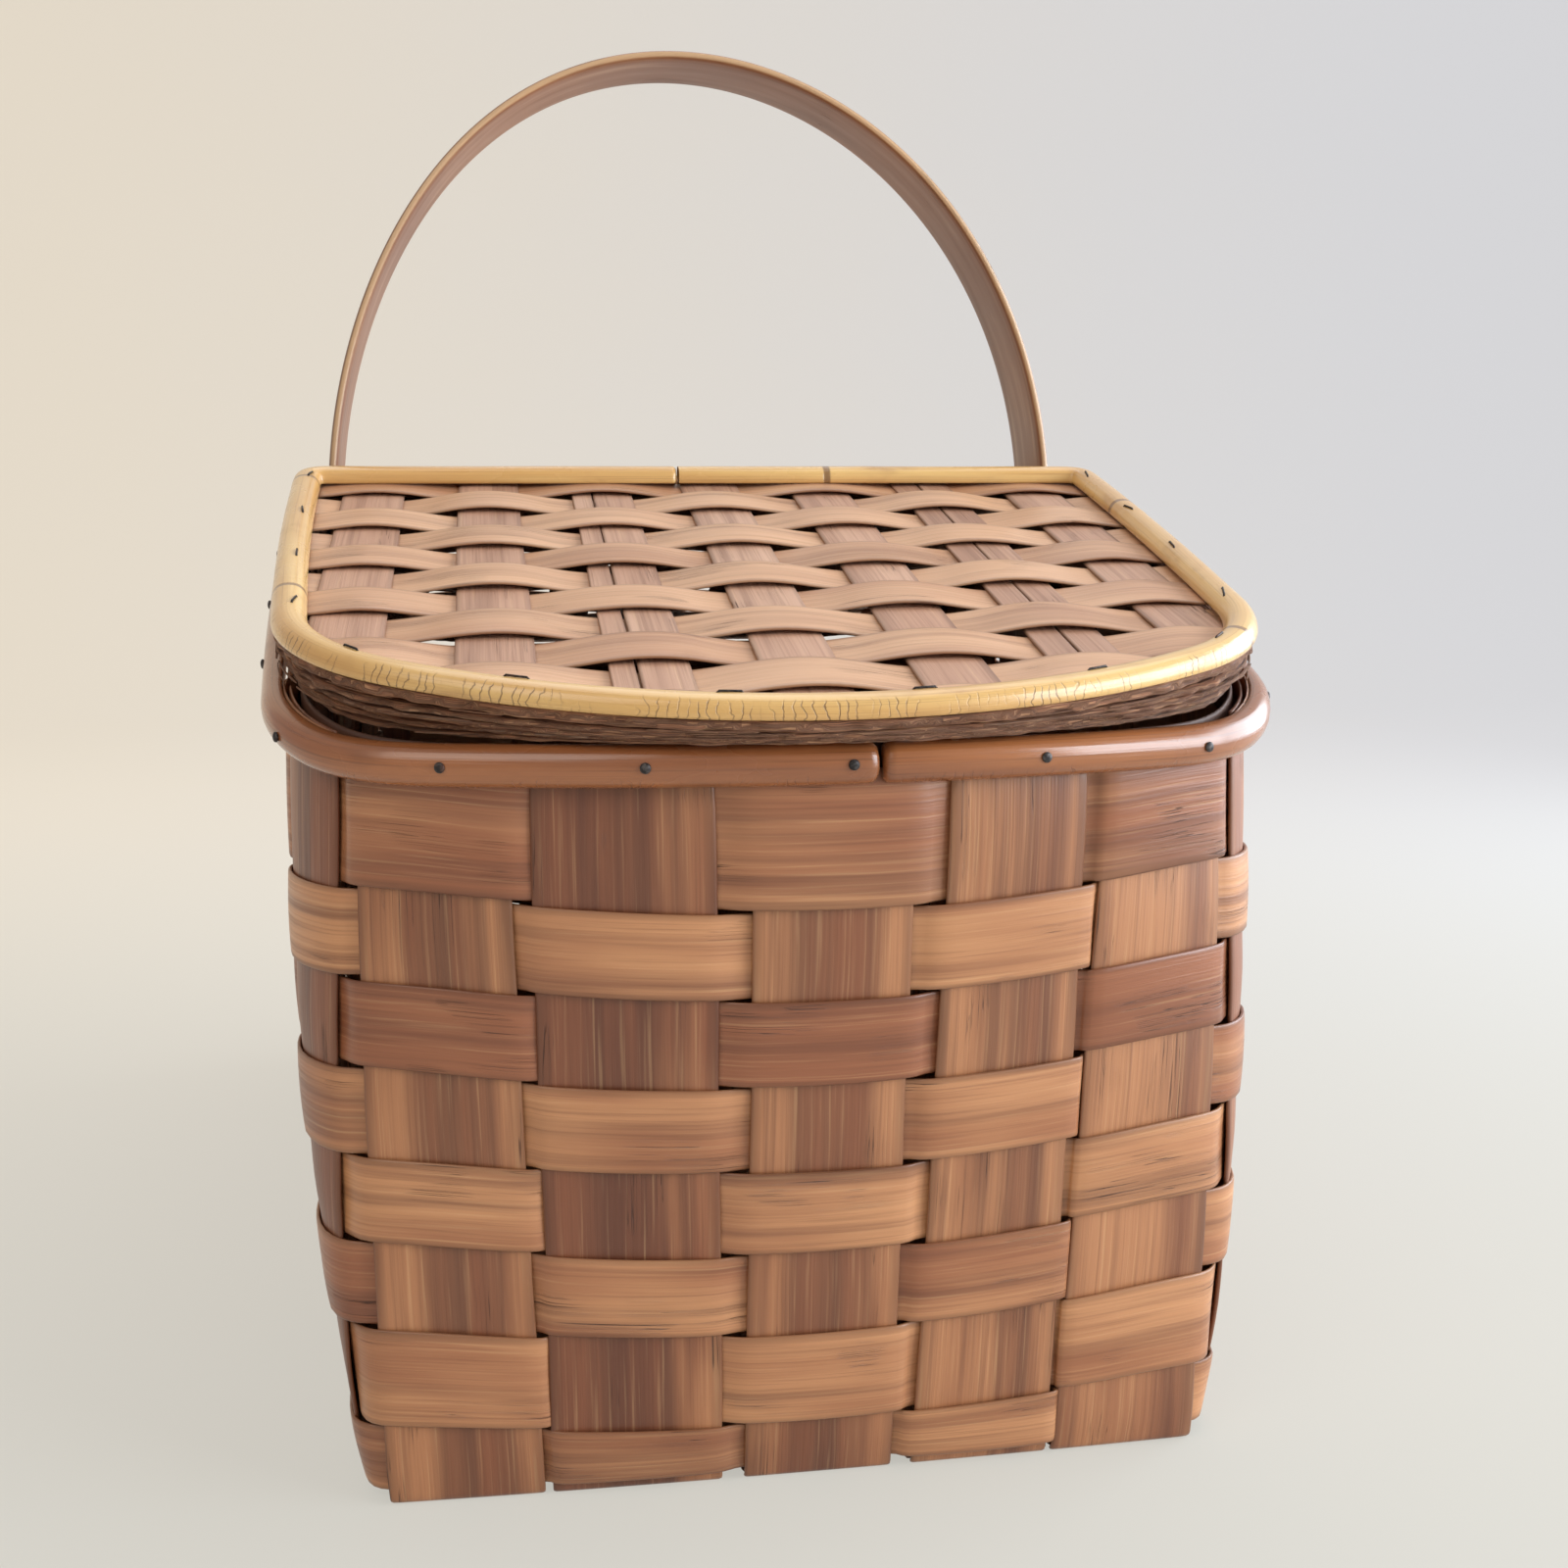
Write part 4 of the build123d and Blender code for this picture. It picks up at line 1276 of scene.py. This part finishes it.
# Each layer of bark: its height, thickness, depth and inset, and how far it hangs towards the rim
bark_layers = (
    (-0.95, 1.2, 7.6, 5.2, 1.0),
    (-0.75, 1.5, 7.6, 4.9, 0.72),
    (-0.45, 1.7, 7.4, 4.6, 0.45),
    (0.1, 1.7, 7.2, 4.4, 0.2),
    (2.2, 2.8, 2.6, 2.0, 0.0),
)
slivers = 60


def add_sliver(bm, side):
    """Adds one thin sliver that has lifted a little from the edge of the bark, round the front of the D."""
    place = chance.uniform(-250.0, 250.0)
    length = chance.uniform(9.0, 30.0)
    depth = chance.random()
    lift = chance.uniform(0.0, 0.9)
    points = []
    for n in range(6):
        share = n / 5
        point = lid_edge(place + share * length, 1.5 - 0.9 * lift * share)[0]
        room = min(room_below(side, point), most_room)
        low = between(1.8, -1.0 - fill_of_room * room, depth)
        points.append(lid_point(side, point.x, point.y, low + 0.5 * lift * share))
    add_wire(bm, points, lid_way(side, 0, 0, 1), chance.uniform(0.16, 0.34), new_look())


for lid, side in lids.items():
    bm = start_mesh()
    stations = lid_stations(side, lid_cane_width / 2, lid_cane_bottom)
    add_bar(bm, stations, lid_cane_section, 14, plain_look(82.0 + side))
    finish_piece(bm, f"{lid}_cane_half_round", yellow_cane, lid, [f"{lid}_cane"])
    bm = start_mesh()
    for up, thickness, depth, inset, share in bark_layers:
        look = new_look()
        stations = lid_stations(side, inset, up, share)
        add_bar(bm, stations, bark_section(thickness, depth, look.seed), 10, look)
    for _ in range(slivers):
        add_sliver(bm, side)
    finish_piece(bm, f"{lid}_bark_bands", bark, lid, [f"{lid}_band"])

# %% [markdown]
# ## Staples, rods and loops
#
# Dark wire staples bind the cane to the bark. Each lies along the cane, nearer its inner side, and is
# pushed through it at both ends. The lids hang on two wooden rods by wire loops that are driven into
# their frames.

# %% The staples
staple_pitch, staples_a_side = 48.0, 7
staple_crown, staple_aside, staple_lift = 6.4, -1.5, 0.15
wire_r = 0.3
staple_shares = (-1.0, -0.98, -0.8, 0.0, 0.8, 0.98, 1.0)
staple_drops = {1.0: 2.4, 0.98: 0.5}

for lid, side in lids.items():
    bm = start_mesh()
    for n in range(-staples_a_side, staples_a_side):
        place = (n + 0.5) * staple_pitch + chance.uniform(-1.5, 1.5)
        points = []
        skew = chance.uniform(-0.7, 0.7)
        for share in staple_shares:
            aside = staple_aside + skew * share
            over = math.sqrt(1 - (2 * aside / lid_cane_width) ** 2) ** 0.85
            rise = lid_cane_bottom + over * (lid_cane_height - 0.15) + staple_lift
            rise -= staple_drops.get(abs(share), 0.0)
            spot = lid_edge(place + share * staple_crown / 2, lid_cane_width / 2 - aside)[0]
            points.append(lid_point(side, spot.x, spot.y, rise))
        out = lid_edge(place)[1]
        across = lid_way(side, out.x, out.y, 0.0).normalized()
        add_wire(bm, points, across, wire_r, plain_look(1.0))
    finish_piece(bm, f"{lid}_wire_staples", wire, lid, [f"{lid}_staples"], soften=0)

# %% The bridge, its rods and the loops
bridge_half_length, bridge_edge_r = rim_half_width + 3.0, 0.7
bridge_bottom = ridge_height + bridge_gap
notch_from = handle_half_span - handle_thickness - notch_gap
bridge_wood = splint_wood("Wood_bridge", paint(176, 124, 80), paint(142, 92, 58), paint(98, 58, 38), 0.5)

bm = start_mesh()
size = Matrix.Diagonal((2 * bridge_half_length * MM, 2 * bridge_half_width * MM, bridge_thickness * MM, 1))
centre = Matrix.Translation(Vector((0, 0, bridge_bottom + bridge_thickness / 2)) * MM)
bmesh.ops.create_cube(bm, size=1.0, matrix=centre @ size)
notch_half = handle_width / 2 + notch_gap
for reach, way in ((notch_from, Vector((1, 0, 0))), (notch_half, Vector((0, 1, 0)))):
    for side in (-1, 1):
        everything = bm.verts[:] + bm.edges[:] + bm.faces[:]
        bmesh.ops.bisect_plane(bm, geom=everything, plane_co=way * side * reach * MM, plane_no=way)


def in_notch(face):
    middle = face.calc_center_median() / MM
    return abs(middle.x) > notch_from + 0.01 and abs(middle.y) < notch_half - 0.01


bmesh.ops.delete(bm, geom=[face for face in bm.faces if in_notch(face)], context="FACES")
open_edges = [edge for edge in bm.edges if edge.is_boundary]
level_edges = [e for e in open_edges if abs(e.verts[0].co.z - e.verts[1].co.z) < 1e-6]
bridge_middle = (bridge_bottom + bridge_thickness / 2) * MM
top_edges = [e for e in level_edges if e.verts[0].co.z > bridge_middle]
bottom_edges = [e for e in level_edges if e.verts[0].co.z < bridge_middle]
for side in (-1, 1):
    loop = [e for e in top_edges + bottom_edges if all(v.co.x * side > 0 for v in e.verts)]
    bmesh.ops.bridge_loops(bm, edges=loop)
bmesh.ops.recalc_face_normals(bm, faces=bm.faces)
sharp = [e for e in bm.edges if len(e.link_faces) == 2 and e.calc_face_angle() > 1.0]
bevel_by = bridge_edge_r * MM
bmesh.ops.bevel(bm, geom=sharp, offset=bevel_by, segments=3, profile=0.5, affect="EDGES", material=-1)
for vertex in bm.verts:
    place = vertex.co / MM
    vertex[bm.verts.layers.float_vector["grain"]] = (place.x, place.y, 55.0)
    vertex[bm.verts.layers.float_vector["figure"]] = (0.45, 5.0, 6.0)
finish_piece(bm, "bridge_plank", bridge_wood, "basket", ["bridge"], soften=0)


rod_steps, rod_waver, rod_end_share = 60, 0.02, 0.86


def add_rod(bm, start, end, radius, look):
    """Adds a round rod that wavers a little, as a whittled stick does."""
    stations = []
    for n in range(rod_steps + 1):
        point = start.lerp(end, n / rod_steps)
        stations.append(Station(point, Vector((0, 1, 0)), Vector((0, 0, 1))))

    def section(step, turn):
        reach = radius * (1 - rod_waver * abs(wander(look.seed, step * 4.5, 26.0)))
        if step in (0, rod_steps):
            reach *= rod_end_share
        return round_section(reach)(step, turn)

    add_bar(bm, stations, section, 16, look)


for name, side in (("front_hinge_rod", -1), ("back_hinge_rod", 1)):
    bm = start_mesh()
    left = Vector((-bridge_half_length, side * hinge_y, hinge_height))
    right = Vector((bridge_half_length, side * hinge_y, hinge_height))
    add_rod(bm, left, right, hinge_rod_r, new_look(0.5, 0.0))
    finish_piece(bm, name + "_stick", bridge_wood, "basket", [name], soften=0)

loop_ring_r, loop_wire_r, loop_shank_r = 3.71, 0.65, 0.6
loop_across, loop_steps = 1.5 * lid_stake_pitch, 24
for lid, side in lids.items():
    bm = start_mesh()
    for across in (-loop_across, loop_across):
        ring = []
        for n in range(loop_steps):
            angle = 2 * math.pi * n / loop_steps
            out = lid_way(side, 0.0, math.cos(angle), math.sin(angle))
            point = lid_point(side, across, 0, 0) + out * loop_ring_r
            ring.append(Station(point, out, Vector((1, 0, 0))))
        add_bar(bm, ring, round_section(loop_wire_r), 10, plain_look(5.0), closed=True)
        shank = [lid_point(side, across, away, 0.0) for away in (loop_ring_r, 8.0, 14.0, 20.0)]
        add_wire(bm, shank, lid_way(side, 0, 0, 1), loop_shank_r, plain_look(5.0))
    finish_piece(bm, f"{lid}_wire_loops", wire, lid, [f"{lid}_hinge_loops"], soften=0)

# %% [markdown]
# ## The floor, the light and the camera
#
# The basket stands on a plain pale floor that bends up into a backdrop. A warm broad light stands at
# the upper left and a neutral one overhead. Two cooler ones, low at the right like a window, give the
# sheen on that side. The camera stands where the photographer stood: close to the front end, a little
# to its left, looking slightly down.

# %% The floor and backdrop
cream, cool_grey, near_floor = paint(240, 229, 211), paint(228, 228, 231), paint(214, 212, 204)
backdrop = floor_finish("Backdrop_pale", cream, cool_grey, near_floor, glow=0.74)
floor_half, backdrop_height, floor_bend_r = 4.0, 5.0, 2.0
near_back = floor_half - 0.1
bm = bmesh.new()
bmesh.ops.create_grid(bm, x_segments=1, y_segments=1, size=floor_half)
back_edge = [edge for edge in bm.edges if all(v.co.y > near_back for v in edge.verts)]
risen = bmesh.ops.extrude_edge_only(bm, edges=back_edge)
for vertex in [item for item in risen["geom"] if isinstance(item, bmesh.types.BMVert)]:
    vertex.co.z += backdrop_height
bend = [edge for edge in bm.edges if all(v.co.y > near_back and v.co.z < 0.1 for v in edge.verts)]
bmesh.ops.bevel(bm, geom=bend, offset=floor_bend_r, segments=24, profile=0.5, affect="EDGES", material=-1)
mesh = bpy.data.meshes.new("floor")
bm.to_mesh(mesh)
bm.free()
mesh.shade_smooth()
mesh.materials.append(backdrop)
floor = bpy.data.objects.new("floor", mesh)
bpy.context.scene.collection.objects.link(floor)
floor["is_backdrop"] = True


# %% The lamps and the world
def add_lamp(name, place, target, width, height, power, colour):
    lamp = bpy.data.lights.new(name, "AREA")
    lamp.shape = "RECTANGLE"
    lamp.size, lamp.size_y = width, height
    lamp.energy = power
    lamp.color = colour
    holder = bpy.data.objects.new(name, lamp)
    bpy.context.scene.collection.objects.link(holder)
    holder.location = place
    holder.rotation_euler = (Vector(target) - Vector(place)).to_track_quat("-Z", "Y").to_euler()


add_lamp("light_key", (-1.3, -1.6, 1.8), (0, 0, 0.15), 1.6, 1.6, 18.0, (1.0, 0.93, 0.84))
add_lamp("light_window", (1.4, -0.9, 0.55), (0.05, -0.2, 0.2), 1.1, 0.9, 28.0, (0.84, 0.92, 1.0))
add_lamp("light_sheen", (1.35, 0.15, 0.6), (0.1, -0.18, 0.2), 1.1, 1.0, 21.0, (0.8, 0.9, 1.0))
add_lamp("light_top", (0.3, 0.6, 2.3), (0, 0, 0.2), 2.0, 2.0, 20.0, (0.97, 0.98, 1.0))
world = bpy.data.worlds.new("studio")
bpy.context.scene.world = world
world.use_nodes = True
world.node_tree.nodes["Background"].inputs["Color"].default_value = paint(238, 236, 232)
world.node_tree.nodes["Background"].inputs["Strength"].default_value = 0.5

# %% The camera
camera_place = Vector((-0.075, -0.671, 0.2337))
camera_yaw, camera_pitch, camera_roll = math.radians(9.04), math.radians(6.98), math.radians(-0.41)
ahead = Vector((math.sin(camera_yaw), math.cos(camera_yaw), -math.tan(camera_pitch))).normalized()
level = Vector((math.cos(camera_yaw), -math.sin(camera_yaw), 0.0))
upward = level.cross(ahead)
right = level * math.cos(camera_roll) + upward * math.sin(camera_roll)
over = upward * math.cos(camera_roll) - level * math.sin(camera_roll)
camera = bpy.data.cameras.new("camera")
camera.sensor_width, camera.lens = 36.0, 42.75
holder = bpy.data.objects.new("camera", camera)
bpy.context.scene.collection.objects.link(holder)
turned = Matrix((right, over, -ahead)).transposed().to_4x4()
holder.matrix_world = Matrix.Translation(camera_place) @ turned
bpy.context.scene.camera = holder
bpy.context.scene.view_settings.view_transform = "Standard"

# %% Compare the sizes and finish
visual_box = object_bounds()
for name, box in (("model", model_box), ("visual", visual_box)):
    print(name, "box in mm:", [[round(value / MM, 1) for value in corner] for corner in box])
